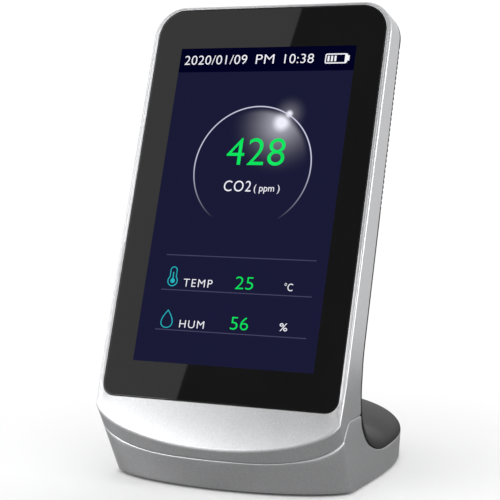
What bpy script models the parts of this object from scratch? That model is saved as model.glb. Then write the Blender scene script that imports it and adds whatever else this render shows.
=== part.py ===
"""Desk air quality monitor: a display slab that leans back on a weighted base with a low round tail.

The silver front housing and base shell meet at a parting groove. A dark rear cover closes both from
behind. The display, boards, gas sensor and battery are inside, and the power button is on the tail.

All sizes below are in millimetres. y is the distance behind the foremost point of the chin and z the
height above the base shell's lower edge; world() turns them into metres about the part's own origin,
the middle of its footprint. Slab positions are (x, s, n): s up the front face, n into it.
"""
import math

import bmesh
import bpy
import numpy as np
from mathutils import Matrix, Vector

MM = 0.001
GAP = 0.3

# overall
DEPTH = 88.5
FOOT_LIFT = 0.6
WALL = 2.0

# leaning slab
LEAN = math.radians(19.23)
FACE_Y = -3.94
SLAB_HALF = 38.1
SLAB_TOP = 143.9
SLAB_CORNER = 9.5
FACE_THICK = 3.3
SIDE_TOP = (50.1, 133.6)

# chin and base outline
BOTTOM_HALF = 36.9
SIDE_FLARE = 0.0383
CHIN_HALF = 37.7
CHIN_LOW = 12.07
CHIN_RISE = 12.0
CHIN_ELLIPSE = 38.2
NOSE_SET_BACK = 1.9
NOSE_SWEEP = 15.3
NOSE_ELLIPSE = 37.3
TAIL_START = 25.0
TAIL_LENGTH = 62.3
TAIL_FLARE = 0.16
RIM = 7.4
BLOCK_LEVELS = (10.0, 30.0, 60.0, 145.0)

# saddle between the slab's back and the tail: a cubic curve seen from the side
SADDLE = ((20.2, 41.3), (13.4, 20.4), (22.2, RIM), (42.2, RIM))

# parting groove between the front housing and the base shell
GROOVE_LOW = 8.4
GROOVE_HIGH = 20.7
GROOVE_START = 0.3
GROOVE_RUN = 10.7

# rear cover
COVER_WALL = 1.8
EDGE_TRIM = 0.05
SLAB_CROWN = 4.5
TAIL_CROWN = 9.5
CROWN_FALL = 42.0
CROWN_BLEND = (17.4, 27.6)
CROWN_TOP_FADE = 125.0
SLAB_POWER = 10
TAIL_POWER = 2
TAIL_BELOW = 12.0
FLARE_END = 31.3
TOP_BEND = 0.16
VENT_COUNT = 12
VENT_PITCH = 3.08
VENT_FIRST = 96.0
VENT_HALF = 24.0
VENT_HEIGHT = 1.3
VENT_CUT = (9.9, 20.0)

# display stack, as depth into the front face
GLASS_HALF = 36.27
GLASS_LOW = 24.97
GLASS_HIGH = 142.66
GLASS_TOP_RADIUS = 8.1
GLASS_LOW_RADIUS = 3.7
GLASS_N = (0.2, 1.3)
GASKET_N = (1.5, 1.9)
POCKET_N = 2.1
POCKET_GAP = 0.25
WINDOW_HALF = 28.9
WINDOW_S = (34.5, 131.4)
LCD_HALF = 33.6
LCD_S = (30.2, 135.7)
PANEL_N = (3.6, 4.8)
BACKLIGHT_N = (5.0, 6.2)

# boards and parts behind the display
BOARD_HALF = 31.0
BOARD_S = (32.0, 94.0)
BOARD_N = (8.0, 9.2)
PROCESSOR = ((-6.0, 6.0), (60.0, 72.0), (9.5, 10.6))
RADIO_CAN = ((12.0, 25.0), (46.0, 62.0), (9.5, 11.2))
BUZZER_AT = (-16.0, 52.0, 9.5)
CLIMATE_BOARD = ((-12.0, 12.0), (102.0, 116.0), (6.8, 7.8))
CLIMATE_SENSOR = ((-1.5, 1.5), (107.5, 110.5), (8.1, 9.0))
DUST_MESH = ((-26.0, 26.0), (95.0, 133.0), (9.2, 9.5))
FLEX_N = (4.0, 4.3)
FLEX_FOLD = (28.0, 5.85)
FLEX_HALF = 9.0
BOSS_X = 26.0
BOSSES = (("low", 38.0, 4.4), ("high", 88.0, 2.6))

# base contents, as limits along x, y and z where three pairs are given
PLATE_Z = (0.8, 2.2)
BASE_BOSS = ((31.4, 26.0), (29.0, 56.0))
FEET = ((25.0, 16.0), (20.0, 72.0))
FOOT_RADIUS = 4.5
CO2_BOARD = ((-17.0, 17.0), (7.0, 22.5), (3.0, 4.2))
CO2_SENSOR = ((-15.5, 15.5), (7.6, 20.6), (4.5, 12.5))
CO2_FILTER = ((-9.0, 9.0), (10.0, 18.0), (12.7, 13.2))
BALLAST = ((-26.0, 26.0), (34.0, 68.0), (2.5, 4.9))
BATTERY_PAD = ((-20.0, 20.0), (39.0, 67.0), (5.1, 5.5))
BATTERY_CELL = ((-22.5, 22.5), (38.0, 68.0), (5.8, 10.8))
INLET_BOARD = ((-14.0, 14.0), (72.0, 82.5), (6.1, 7.1))

# power inlet and button in the tail's rear wall
PORT_X = -8.0
BUTTON_X = 8.0
PORT_Z = 4.1
REAR_WALL_Y = 84.0
INLET_Y = (78.0, 86.4)
INLET_HALF = (4.4, 1.5)
INLET_METAL = 0.3
BUTTON_Y = (83.8, 88.0)
BUTTON_HALF = (3.5, 1.5)
BUTTON_TRAVEL = 0.6
FLANGE_HALF = 4.2
FLANGE_Y = (83.5, 84.1)
PLUNGER_Y = 81.7
PLUNGER_LENGTH = 1.6
PLUNGER_RADIUS = 0.75
SWITCH_HALF = 2.6
SWITCH_Y = (78.5, 82.6)
SWITCH_Z = (2.6, 5.8)

# how far cutters run past the part
CUT_HALF = 60.0
CUT_TOP = 160.0
CUT_BELOW = -20.0

COLOURS = {
    "silver": ((0.60, 0.61, 0.62), 0.35, 0.6),
    "black_plastic": ((0.035, 0.035, 0.037), 0.45, 0.0),
    "cover_glass": ((0.01, 0.01, 0.012), 0.05, 0.0),
    "adhesive": ((0.02, 0.02, 0.02), 0.8, 0.0),
    "screen": ((0.012, 0.013, 0.05), 0.2, 0.0),
    "backlight": ((0.8, 0.8, 0.82), 0.4, 0.3),
    "board": ((0.01, 0.12, 0.05), 0.5, 0.0),
    "chip": ((0.02, 0.02, 0.022), 0.4, 0.0),
    "steel": ((0.55, 0.55, 0.56), 0.35, 1.0),
    "gold": ((0.75, 0.58, 0.25), 0.3, 1.0),
    "membrane": ((0.85, 0.85, 0.83), 0.9, 0.0),
    "battery": ((0.35, 0.38, 0.42), 0.4, 0.2),
    "foam": ((0.05, 0.05, 0.05), 0.95, 0.0),
    "flex": ((0.45, 0.22, 0.05), 0.4, 0.0),
    "lead": ((0.45, 0.02, 0.02), 0.5, 0.0),
    "rubber": ((0.02, 0.02, 0.02), 0.85, 0.0),
}


def clear_scene():
    for item in list(bpy.data.objects):
        bpy.data.objects.remove(item, do_unlink=True)


def new_collection(name):
    collection = bpy.data.collections.new(name)
    bpy.context.scene.collection.children.link(collection)
    return collection


def make_materials():
    made = {}
    for name, (colour, roughness, metallic) in COLOURS.items():
        material = bpy.data.materials.new(name)
        material.use_nodes = True
        shader = material.node_tree.nodes["Principled BSDF"]
        shader.inputs["Base Color"].default_value = (*colour, 1.0)
        shader.inputs["Roughness"].default_value = roughness
        shader.inputs["Metallic"].default_value = metallic
        made[name] = material
    return made


clear_scene()
PARTS = new_collection("air_quality_monitor")
CUTTERS = new_collection("cutters")
MATERIALS = make_materials()


# --- places -------------------------------------------------------------------------------------

def world(x, y, z):
    """Metres in the part's frame for millimetres from the chin and the base shell's edge."""
    return Vector((x * MM, (y - DEPTH / 2) * MM, (z + FOOT_LIFT) * MM))


def slab_yz(s, n):
    """Side-view place of the slab position (s, n)."""
    y = FACE_Y + s * math.sin(LEAN) + n * math.cos(LEAN)
    z = s * math.cos(LEAN) - n * math.sin(LEAN)
    return y, z


def frame_matrix(origin, x_axis, y_axis, z_axis):
    columns = Matrix((x_axis, y_axis, z_axis)).transposed().to_4x4()
    return Matrix.Translation(origin) @ columns


def slab_matrix(n=0.0):
    """Local x across, local y up the slab, local z out of its face, starting at depth n."""
    up = (0.0, math.sin(LEAN), math.cos(LEAN))
    out = (0.0, -math.cos(LEAN), math.sin(LEAN))
    return frame_matrix(world(0.0, *slab_yz(0.0, n)), (1.0, 0.0, 0.0), up, out)


FLAT_MATRIX = frame_matrix(world(0.0, 0.0, 0.0), (1.0, 0.0, 0.0), (0.0, 1.0, 0.0), (0.0, 0.0, 1.0))
SIDE_MATRIX = frame_matrix(world(0.0, 0.0, 0.0), (0.0, 1.0, 0.0), (0.0, 0.0, 1.0), (1.0, 0.0, 0.0))


# --- making objects -----------------------------------------------------------------------------

def new_object(name, mesh, material=None, matrix=None):
    """A part when it has a material, and otherwise a hidden cutter."""
    item = bpy.data.objects.new(name, mesh)
    if matrix is not None:
        item.matrix_world = matrix
    if material:
        mesh.materials.clear()
        mesh.materials.append(MATERIALS[material])
        PARTS.objects.link(item)
    else:
        CUTTERS.objects.link(item)
        item.hide_render = True
        item.display_type = "WIRE"
    return item


def finish_bmesh(name, bm, material=None, matrix=None):
    bmesh.ops.recalc_face_normals(bm, faces=bm.faces)
    mesh = bpy.data.meshes.new(name)
    bm.to_mesh(mesh)
    bm.free()
    return new_object(name, mesh, material, matrix)


def prism(name, points, low, high, matrix, material=None, holes=()):
    """A flat outline (mm) extruded from local height low to high (mm)."""
    curve = bpy.data.curves.new(name, "CURVE")
    curve.dimensions = "2D"
    curve.fill_mode = "BOTH"
    curve.extrude = (high - low) / 2 * MM
    for outline in (points, *holes):
        spline = curve.splines.new("POLY")
        spline.points.add(len(outline) - 1)
        for point, (a, b) in zip(spline.points, outline):
            point.co = (a * MM, b * MM, 0.0, 1.0)
        spline.use_cyclic_u = True
    rough = bpy.data.objects.new(name, curve)
    bpy.context.scene.collection.objects.link(rough)
    rough.matrix_world = matrix @ Matrix.Translation((0.0, 0.0, (low + high) / 2 * MM))
    bpy.context.view_layer.update()
    evaluated = rough.evaluated_get(bpy.context.evaluated_depsgraph_get())
    mesh = bpy.data.meshes.new_from_object(evaluated)
    placed = rough.matrix_world.copy()
    bpy.data.objects.remove(rough, do_unlink=True)
    bm = bmesh.new()
    bm.from_mesh(mesh)
    bpy.data.meshes.remove(mesh)
    bmesh.ops.remove_doubles(bm, verts=bm.verts, dist=1e-6)
    return finish_bmesh(name, bm, material, placed)


def side_prism(name, points):
    """A side-view outline (y, z) as a cutter across the whole part."""
    return prism(name, points, -CUT_HALF, CUT_HALF, SIDE_MATRIX)


def rear_matrix(x):
    """Local x to the left, y up and z towards the rear, at the height of the port and the button."""
    return frame_matrix(world(x, 0.0, PORT_Z), (-1, 0, 0), (0, 0, 1), (0, 1, 0))


def pill(half, height, radius):
    """A rounded slot outline about its own centre."""
    return rounded_outline(half, -height, height, radius, radius)


def slab_prism(name, points, depths, material=None, holes=()):
    """An outline in slab (x, s) between two depths."""
    return prism(name, points, -depths[1], -depths[0], slab_matrix(), material, holes)


def box(name, centre, size, material=None, matrix=None):
    """A box in millimetres about centre, in the frame of matrix or of the base shell."""
    bm = bmesh.new()
    scale = Matrix.Diagonal((*[length * MM for length in size], 1.0))
    bmesh.ops.create_cube(bm, size=1.0, matrix=scale)
    start = matrix if matrix is not None else FLAT_MATRIX
    return finish_bmesh(name, bm, material, start @ Matrix.Translation(Vector(centre) * MM))


def span_box(name, spans, material=None, matrix=None):
    """A box given by its low and high limits along each axis."""
    centre = [(low + high) / 2 for low, high in spans]
    size = [high - low for low, high in spans]
    return box(name, centre, size, material, matrix)


def slab_box(name, across, up, depths, material=None):
    """A box given by its limits in slab x, s and n."""
    return span_box(name, (across, up, (-depths[1], -depths[0])), material, slab_matrix())


def rod(name, base, axis, length, radius, material=None, sides=24):
    """A cylinder from base (mm, world axes about the shell's frame) along a unit axis."""
    bm = bmesh.new()
    bmesh.ops.create_cone(bm, cap_ends=True, segments=sides, radius1=radius * MM, radius2=radius * MM,
                          depth=length * MM)
    direction = Vector(axis)
    turn = direction.to_track_quat("Z", "Y").to_matrix().to_4x4()
    centre = world(*base) + direction * (length / 2 * MM)
    item = finish_bmesh(name, bm, material, Matrix.Translation(centre) @ turn)
    item.data.shade_smooth()
    item.data.set_sharp_from_angle(angle=math.radians(40))
    return item


def boolean(item, tool, operation):
    modifier = item.modifiers.new(tool.name, "BOOLEAN")
    modifier.operation = operation
    modifier.object = tool
    modifier.solver = "EXACT"


def bevel(item, width, segments=2):
    modifier = item.modifiers.new("edge", "BEVEL")
    modifier.width = width * MM
    modifier.segments = segments
    modifier.limit_method = "ANGLE"


# --- outlines -----------------------------------------------------------------------------------

def rounded_outline(half, low, high, low_radius, high_radius, steps=8):
    """A rectangle in (x, s) with its own corner radius at the foot and at the top."""
    points = []
    corners = ((half - high_radius, high - high_radius, high_radius, 0),
               (-half + high_radius, high - high_radius, high_radius, 90),
               (-half + low_radius, low + low_radius, low_radius, 180),
               (half - low_radius, low + low_radius, low_radius, 270))
    for cx, cy, radius, start in corners:
        for step in range(steps + 1):
            angle = math.radians(start + 90 * step / steps)
            points.append((cx + radius * math.cos(angle), cy + radius * math.sin(angle)))
    return points


def slab_outline(inset):
    """The slab's front outline with round top corners, running down past the chin."""
    half = SLAB_HALF - inset
    top = SLAB_TOP - inset
    radius = SLAB_CORNER - inset
    points = [(half, -10.0)]
    for start, side in ((0, 1), (90, -1)):
        for step in range(11):
            angle = math.radians(start + 9 * step)
            points.append((side * (half - radius) + radius * math.cos(angle),
                           top - radius + radius * math.sin(angle)))
    points.append((-half, -10.0))
    return points


def saddle_point(t):
    """Side-view point of the saddle's cubic curve."""
    weights = ((1 - t) ** 3, 3 * (1 - t) ** 2 * t, 3 * (1 - t) * t ** 2, t ** 3)
    return tuple(sum(w * p[axis] for w, p in zip(weights, SADDLE)) for axis in (0, 1))


def saddle_from_height(height, lower, count):
    """Saddle points between the curve's place at a height and its end, on one side of it."""
    cut = next(t / 400 for t in range(401) if saddle_point(t / 400)[1] <= height)
    limits = (cut, 1.0) if lower else (0.0, cut)
    return [saddle_point(limits[0] + (limits[1] - limits[0]) * i / count) for i in range(count + 1)]


def groove_points(shift, count=16):
    """The parting groove from the front to the rear cover: a smooth step, moved up by shift."""
    points = [(-6.0, GROOVE_LOW + shift)]
    for step in range(count + 1):
        t = step / count
        rise = t * t * (3 - 2 * t)
        points.append((GROOVE_START + GROOVE_RUN * t,
                       GROOVE_LOW + (GROOVE_HIGH - GROOVE_LOW) * rise + shift))
    return points


def plan_ring(z, inset, nose_steps=24, tail_steps=40):
    """The base's outline at height z: a nose ruled from bottom edge to chin, then sides and tail."""
    points = []
    for step in range(nose_steps + 1):
        across = -1 + 2 * step / nose_steps
        x_low = BOTTOM_HALF * across
        y_low = NOSE_SET_BACK + NOSE_SWEEP * (1 - math.sqrt(1 - (x_low / NOSE_ELLIPSE) ** 2))
        x_chin = CHIN_HALF * across
        s_chin = CHIN_LOW + CHIN_RISE * (1 - math.sqrt(1 - (x_chin / CHIN_ELLIPSE) ** 2))
        y_chin, z_chin = slab_yz(s_chin, 0.0)
        part = z / z_chin
        x = x_low + (x_chin - x_low) * part
        x *= 1 - inset / BOTTOM_HALF
        points.append((x, y_low + (y_chin - y_low) * part + inset * 1.15, z))
    half = BOTTOM_HALF + SIDE_FLARE * z - inset
    length = TAIL_LENGTH + TAIL_FLARE * z - inset
    for step in range(tail_steps + 1):
        angle = math.pi * step / tail_steps
        x = half * math.copysign(abs(math.cos(angle)) ** 0.8, math.cos(angle))
        y = TAIL_START + length * math.sin(angle) ** (2 / 3)
        points.append((x, y, z))
    return points


def base_block(name, inset, levels, material=None):
    """The base's outer or inner volume: plan rings stacked through the given heights."""
    bm = bmesh.new()
    rings = [[bm.verts.new(world(*point)) for point in plan_ring(z, inset)] for z in levels]
    count = len(rings[0])
    for lower, upper in zip(rings, rings[1:]):
        for i in range(count):
            j = (i + 1) % count
            bm.faces.new((lower[i], lower[j], upper[j], upper[i]))
    bm.faces.new(rings[0][::-1])
    bm.faces.new(rings[-1])
    return finish_bmesh(name, bm, material)


# --- rear cover surface -------------------------------------------------------------------------

def cover_path():
    """Side-view edge of the rear cover from the slab's top, over the saddle, to the tail's end."""
    top = Vector(SIDE_TOP)
    foot = Vector(SADDLE[0])
    drop = [1 - math.cos(math.pi / 2 * i / 8) for i in range(9)]
    points = [tuple(top + (foot - top) * TOP_BEND * part) for part in drop]
    points += [tuple(top + (foot - top) * (TOP_BEND + (1 - TOP_BEND) * i / 8)) for i in range(1, 9)]
    points += [saddle_point(i / 14) for i in range(1, 15)]
    reach = DEPTH - SADDLE[3][0]
    points += [(SADDLE[3][0] + reach * math.sin(math.pi / 2 * i / 14), RIM) for i in range(1, 15)]
    return np.array(points)


def cover_half_width(y, z):
    """Half width of the cover at each path point: round top corners, straight sides, round tail."""
    along = (z + (y - FACE_Y) * math.tan(LEAN)) * math.cos(LEAN)
    into_corner = np.clip((along - (SLAB_TOP - SLAB_CORNER)) / SLAB_CORNER, 0, 1)
    slab = SLAB_HALF - SLAB_CORNER * (1 - np.sqrt(1 - into_corner ** 2))
    tail_part = np.clip((y - TAIL_START) / (DEPTH - TAIL_START), 0, 1)
    low = (BOTTOM_HALF + SIDE_FLARE * z) * (1 - tail_part ** 3) ** 0.4
    wall = BOTTOM_HALF + SIDE_FLARE * np.minimum(z, FLARE_END)
    return np.where(z < TAIL_BELOW, low, np.minimum(slab, wall))


def path_normals(path):
    tangent = np.gradient(path, axis=0)
    tangent /= np.linalg.norm(tangent, axis=1)[:, None]
    return np.stack([-tangent[:, 1], tangent[:, 0]], 1)


def cover_grid(across_steps=20):
    """Outer surface of the rear cover: the side edge lifted along its normal by a crown."""
    path = cover_path()
    y, z = path.T
    normal = path_normals(path)
    blend = np.clip((y - CROWN_BLEND[0]) / CROWN_BLEND[1], 0, 1) * (z < SADDLE[0][1])
    blend = blend * blend * (3 - 2 * blend)
    near_end = np.clip((y - CROWN_FALL) / (DEPTH - CROWN_FALL), 0, 1) * (z < TAIL_BELOW)
    to_top = np.clip((z - CROWN_TOP_FADE) / (SIDE_TOP[1] - CROWN_TOP_FADE), 0, 1)
    crown = SLAB_CROWN + (TAIL_CROWN - SLAB_CROWN) * blend
    crown = crown * np.sqrt(1 - near_end ** 4) * np.sqrt(1 - to_top ** 2)
    power = SLAB_POWER + (TAIL_POWER - SLAB_POWER) * blend
    swing = np.sin(np.linspace(-math.pi / 2, math.pi / 2, across_steps + 1))
    lift = GAP + crown[:, None] * np.sqrt(np.clip(1 - np.abs(swing)[None] ** power[:, None], 0, 1))
    x = cover_half_width(y, z)[:, None] * swing
    return x, y[:, None] + lift * normal[:, :1], z[:, None] + lift * normal[:, 1:]


def make_rear_cover():
    """One open crowned surface given a wall by Solidify, with board bosses and vent slots."""
    x, y, z = cover_grid()
    bm = bmesh.new()
    rows, columns = x.shape
    verts = [[bm.verts.new(world(x[i, j], y[i, j], z[i, j])) for j in range(columns)]
             for i in range(rows - 1)]
    end = bm.verts.new(world(0.0, y[-1].mean(), z[-1].mean()))
    for i in range(rows - 2):
        for j in range(columns - 1):
            bm.faces.new((verts[i][j], verts[i][j + 1], verts[i + 1][j + 1], verts[i + 1][j]))
    for j in range(columns - 1):
        bm.faces.new((verts[-1][j], verts[-1][j + 1], end))
    mesh = bpy.data.meshes.new("rear_cover")
    bm.normal_update()
    bm.to_mesh(mesh)
    bm.free()
    cover = new_object("rear_cover", mesh, "black_plastic")
    solidify = cover.modifiers.new("wall", "SOLIDIFY")
    solidify.thickness = COVER_WALL * MM
    solidify.offset = -1.0
    solidify.use_even_offset = True
    path = cover_path()
    edge = path + path_normals(path) * (GAP - EDGE_TRIM)
    outline = [tuple(point) for point in edge]
    outline += [(CUT_TOP, RIM), (CUT_TOP, CUT_BELOW), (-CUT_HALF, CUT_BELOW), (-CUT_HALF, CUT_TOP)]
    outline.append((edge[0][0], CUT_TOP))
    boolean(cover, side_prism("edge_region", outline), "DIFFERENCE")
    for i in range(VENT_COUNT):
        low = VENT_FIRST + VENT_PITCH * i
        slot = slab_box(f"vent_{i}", (-VENT_HALF, VENT_HALF), (low, low + VENT_HEIGHT), VENT_CUT)
        boolean(cover, slot, "DIFFERENCE")
    return cover


# --- shells -------------------------------------------------------------------------------------

def make_front_housing(outer, inner):
    """The slab's outline from the face back, kept above the groove, hollowed and opened for the glass."""
    housing = slab_prism("front_housing", slab_outline(0.0), (0.0, CUT_HALF), "silver")
    rear_line = Vector(SIDE_TOP) - Vector(SADDLE[0])
    keep = [slab_yz(SLAB_TOP + 6.0, 0.0), tuple(Vector(SIDE_TOP) + rear_line * 0.1)]
    keep += saddle_from_height(GROOVE_HIGH + GAP / 2, False, 8)
    keep += groove_points(GAP / 2)[::-1]
    boolean(housing, side_prism("front_region", keep), "INTERSECT")
    boolean(housing, outer, "INTERSECT")
    cavity = slab_prism("slab_cavity", slab_outline(WALL), (FACE_THICK, 80.0))
    boolean(cavity, inner, "INTERSECT")
    boolean(housing, cavity, "DIFFERENCE")
    opening = rounded_outline(GLASS_HALF + POCKET_GAP, GLASS_LOW - POCKET_GAP, GLASS_HIGH + POCKET_GAP,
                              GLASS_LOW_RADIUS, GLASS_TOP_RADIUS)
    boolean(housing, slab_prism("glass_pocket", opening, (-2.0, POCKET_N)), "DIFFERENCE")
    window = slab_box("window", (-WINDOW_HALF, WINDOW_HALF), WINDOW_S, (-1.0, 6.0))
    boolean(housing, window, "DIFFERENCE")


def make_base_shell(inner):
    """The base's volume below the groove, the saddle and the tail's rim, hollowed and open below."""
    shell = base_block("base_shell", 0.0, (0.0, *BLOCK_LEVELS[:2]), "silver")
    below = groove_points(-GAP / 2)
    below += saddle_from_height(GROOVE_HIGH - GAP / 2, True, 12)
    below += [(100.0, RIM), (100.0, -5.0), (-6.0, -5.0)]
    boolean(shell, side_prism("base_region", below), "INTERSECT")
    boolean(shell, inner, "DIFFERENCE")
    return shell


def add_base_bosses(shell):
    """Screw bosses that grow from the base shell's side walls."""
    for number, (x, y) in enumerate(BASE_BOSS):
        for side in (-1, 1):
            boss = rod(f"boss_{number}_{side}", (side * x, y, PLATE_Z[1] + GAP), (0, 0, 1), 3.6, 3.0)
            web = span_box(f"web_{number}_{side}", (sorted((side * x, side * (x + 4.2))),
                           (y - 1.0, y + 1.0), (PLATE_Z[1] + GAP, 5.6)))
            pilot = rod(f"pilot_{number}_{side}", (side * x, y, 0.0), (0, 0, 1), 12.0, 1.3, sides=16)
            boolean(shell, boss, "UNION")
            boolean(shell, web, "UNION")
            boolean(shell, pilot, "DIFFERENCE")


def add_tail_openings(shell):
    """Slot for the power inlet and slot for the button in the tail's rear wall."""
    inlet = pill(INLET_HALF[0] + GAP, INLET_HALF[1] + GAP, 1.7)
    button = pill(BUTTON_HALF[0] + POCKET_GAP, BUTTON_HALF[1] + POCKET_GAP, 1.7)
    for name, x, outline in (("inlet_slot", PORT_X, inlet), ("button_slot", BUTTON_X, button)):
        slot = prism(name, outline, REAR_WALL_Y, REAR_WALL_Y + 10.0, rear_matrix(x))
        boolean(shell, slot, "DIFFERENCE")


# --- display ------------------------------------------------------------------------------------

def make_display():
    glass = rounded_outline(GLASS_HALF, GLASS_LOW, GLASS_HIGH, GLASS_LOW_RADIUS, GLASS_TOP_RADIUS)
    slab_prism("cover_glass", glass, GLASS_N, "cover_glass")
    ring = rounded_outline(GLASS_HALF - 0.5, GLASS_LOW + 0.5, GLASS_HIGH - 0.5,
                           GLASS_LOW_RADIUS - 0.5, GLASS_TOP_RADIUS - 0.5)
    opening = rounded_outline(WINDOW_HALF + 1, WINDOW_S[0] - 1, WINDOW_S[1] + 1, 0.5, 0.5, 2)
    slab_prism("glass_gasket", ring, GASKET_N, "adhesive", holes=(opening,))
    slab_box("lcd_panel", (-LCD_HALF, LCD_HALF), LCD_S, PANEL_N, "screen")
    slab_box("lcd_backlight", (-LCD_HALF, LCD_HALF), LCD_S, BACKLIGHT_N, "backlight")


def make_flex():
    """Ribbon that leaves the panel's lower edge and folds back up to the main board."""
    matrix = frame_matrix(world(0.0, *slab_yz(0.0, 0.0)), slab_matrix().col[1].xyz,
                          -slab_matrix().col[2].xyz, (-1.0, 0.0, 0.0))
    outer = [(LCD_S[0] - GAP, FLEX_N[0])]
    inner = [(LCD_S[0] - GAP, FLEX_N[1])]
    for step in range(9):
        angle = math.radians(-90 - 180 * step / 8)
        for line, radius in ((outer, FLEX_FOLD[1] - FLEX_N[0]), (inner, FLEX_FOLD[1] - FLEX_N[1])):
            line.append((FLEX_FOLD[0] + radius * math.cos(angle),
                         FLEX_FOLD[1] + radius * math.sin(angle)))
    end = LCD_S[0] + 5.8
    outer.append((end, 2 * FLEX_FOLD[1] - FLEX_N[0]))
    inner.append((end, 2 * FLEX_FOLD[1] - FLEX_N[1]))
    prism("display_flex", outer + inner[::-1], -FLEX_HALF, FLEX_HALF, matrix, "flex")


# --- electronics --------------------------------------------------------------------------------

def make_main_board():
    board = slab_box("main_board", (-BOARD_HALF, BOARD_HALF), BOARD_S, BOARD_N, "board")
    slab_box("processor", *PROCESSOR, "chip")
    slab_box("radio_can", *RADIO_CAN, "steel")
    into = slab_matrix().col[2].xyz * -1
    rod("buzzer", (BUZZER_AT[0], *slab_yz(*BUZZER_AT[1:])), into, 2.0, 4.5, "chip")
    rear = bpy.data.objects["rear_cover"]
    for row, s, length in BOSSES:
        for side in (-1, 1):
            tag = f"{row}_{'right' if side > 0 else 'left'}"

            def turned(name, depth, reach, radius, material=None, sides=16):
                base = (side * BOSS_X, *slab_yz(s, depth))
                return rod(f"{name}_{tag}", base, into, reach, radius, material, sides)

            boolean(board, turned("board_hole", 7.0, 3.0, 1.3), "DIFFERENCE")
            boolean(rear, turned("board_boss", 9.5, length, 2.2), "UNION")
            boolean(rear, turned("board_bore", 9.0, 2.9, 1.2), "DIFFERENCE")
            screw = turned("board_screw", 6.7, 1.0, 1.8, "steel", 24)
            boolean(screw, turned("board_shank", 7.5, 4.0, 0.9), "UNION")


def make_sensors():
    span_box("co2_board", CO2_BOARD, "board")
    span_box("co2_sensor", CO2_SENSOR, "gold")
    span_box("co2_filter", CO2_FILTER, "membrane")
    slab_box("climate_board", *CLIMATE_BOARD, "board")
    slab_box("climate_sensor", *CLIMATE_SENSOR, "chip")
    slab_box("dust_mesh", *DUST_MESH, "black_plastic")


def make_battery():
    span_box("ballast_plate", BALLAST, "steel")
    span_box("battery_pad", BATTERY_PAD, "foam")
    cell = span_box("battery_cell", BATTERY_CELL, "battery")
    bevel(cell, 1.2)


def make_lead(name, points, diameter=1.5):
    """A two-core lead with its route on one smooth curve through the given points."""
    route = [world(*point) for point in points]
    fine = []
    last = len(route) - 1
    for i in range(last):
        a, b, c, d = (route[max(i - 1, 0)], route[i], route[i + 1], route[min(i + 2, last)])
        for step in range(4):
            t = step / 4
            fine.append(0.5 * (2 * b + (c - a) * t + (2 * a - 5 * b + 4 * c - d) * t ** 2
                               + (3 * b - a - 3 * c + d) * t ** 3))
    fine.append(route[-1])
    curve = bpy.data.curves.new(name, "CURVE")
    curve.dimensions = "3D"
    curve.bevel_depth = diameter / 2 * MM
    curve.bevel_resolution = 1
    curve.use_fill_caps = True
    spline = curve.splines.new("POLY")
    spline.points.add(len(fine) - 1)
    for point, place in zip(spline.points, fine):
        point.co = (*place, 1.0)
    curve.materials.append(MATERIALS["lead"])
    PARTS.objects.link(bpy.data.objects.new(name, curve))


def make_leads():
    make_lead("battery_lead", ((12, 37.0, 8.0), (14, 32.0, 9.0), (18, 25.0, 12.5), (19, 20.5, 18.0),
                               (19, 18.6, 25.0), (19, *slab_yz(36.0, 10.8)), (19, *slab_yz(40.0, 10.4))))
    make_lead("sensor_lead", ((-14, 23.8, 3.9), (-16, 25.0, 8.0), (-18, 22.8, 13.5), (-19, 19.8, 19.0),
                              (-19, *slab_yz(31.0, 10.8)), (-19, *slab_yz(37.0, 10.4))))
    make_lead("inlet_lead", ((-11.0, 73.5, 8.3), (-18.0, 71.5, 8.0), (-24.0, 66.0, 7.6),
                             (-25.5, 50.0, 7.4), (-25.0, 38.0, 8.0), (-24.0, 30.0, 10.0),
                             (-22.5, 22.6, 15.5), (-21.7, *slab_yz(31.0, 10.8)),
                             (-21.5, *slab_yz(44.0, 10.4))))


# --- base and tail ------------------------------------------------------------------------------

def make_bottom():
    """Bottom plate set inside the shell's edge, its screws, and four rubber feet under it."""
    ring = [(x, y) for x, y, _ in plan_ring(0.8, WALL + GAP)]
    plate = prism("bottom_plate", ring, *PLATE_Z, FLAT_MATRIX, "black_plastic")
    ends = ("front", "rear")
    for end, (x, y) in zip(ends, BASE_BOSS):
        for side in (-1, 1):
            tag = f"{end}_{'right' if side > 0 else 'left'}"
            hole = rod(f"plate_hole_{tag}", (side * x, y, 0.0), (0, 0, 1), 4.0, 1.3, sides=16)
            boolean(plate, hole, "DIFFERENCE")
            screw = rod(f"base_screw_{tag}", (side * x, y, -0.35), (0, 0, 1), 0.85, 2.2, "steel")
            shank = rod(f"base_shank_{tag}", (side * x, y, 0.3), (0, 0, 1), 5.0, 1.0, sides=16)
            boolean(screw, shank, "UNION")
    for end, (x, y) in zip(ends, FEET):
        for side in (-1, 1):
            foot = rod(f"foot_{end}_{'right' if side > 0 else 'left'}", (side * x, y, -FOOT_LIFT),
                       (0, 0, 1), FOOT_LIFT + PLATE_Z[0] - 0.2, FOOT_RADIUS, "rubber", 32)
            bevel(foot, 0.3, 1)


def make_inlet():
    """Board across the tail and the power inlet: a pill-shaped metal shell with a tongue inside."""
    span_box("inlet_board", INLET_BOARD, "board")
    half, height = INLET_HALF
    socket = prism("power_inlet", pill(half, height, 1.45), *INLET_Y, rear_matrix(PORT_X), "steel")
    mouth = prism("inlet_mouth", pill(half - INLET_METAL, height - INLET_METAL, 1.15),
                  INLET_Y[0] + 1.0, 90.0, rear_matrix(PORT_X))
    boolean(socket, mouth, "DIFFERENCE")
    tongue = span_box("inlet_tongue", ((PORT_X - 3.2, PORT_X + 3.2), (78.6, 85.2),
                                       (PORT_Z - 0.3, PORT_Z + 0.3)))
    boolean(socket, tongue, "UNION")


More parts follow.
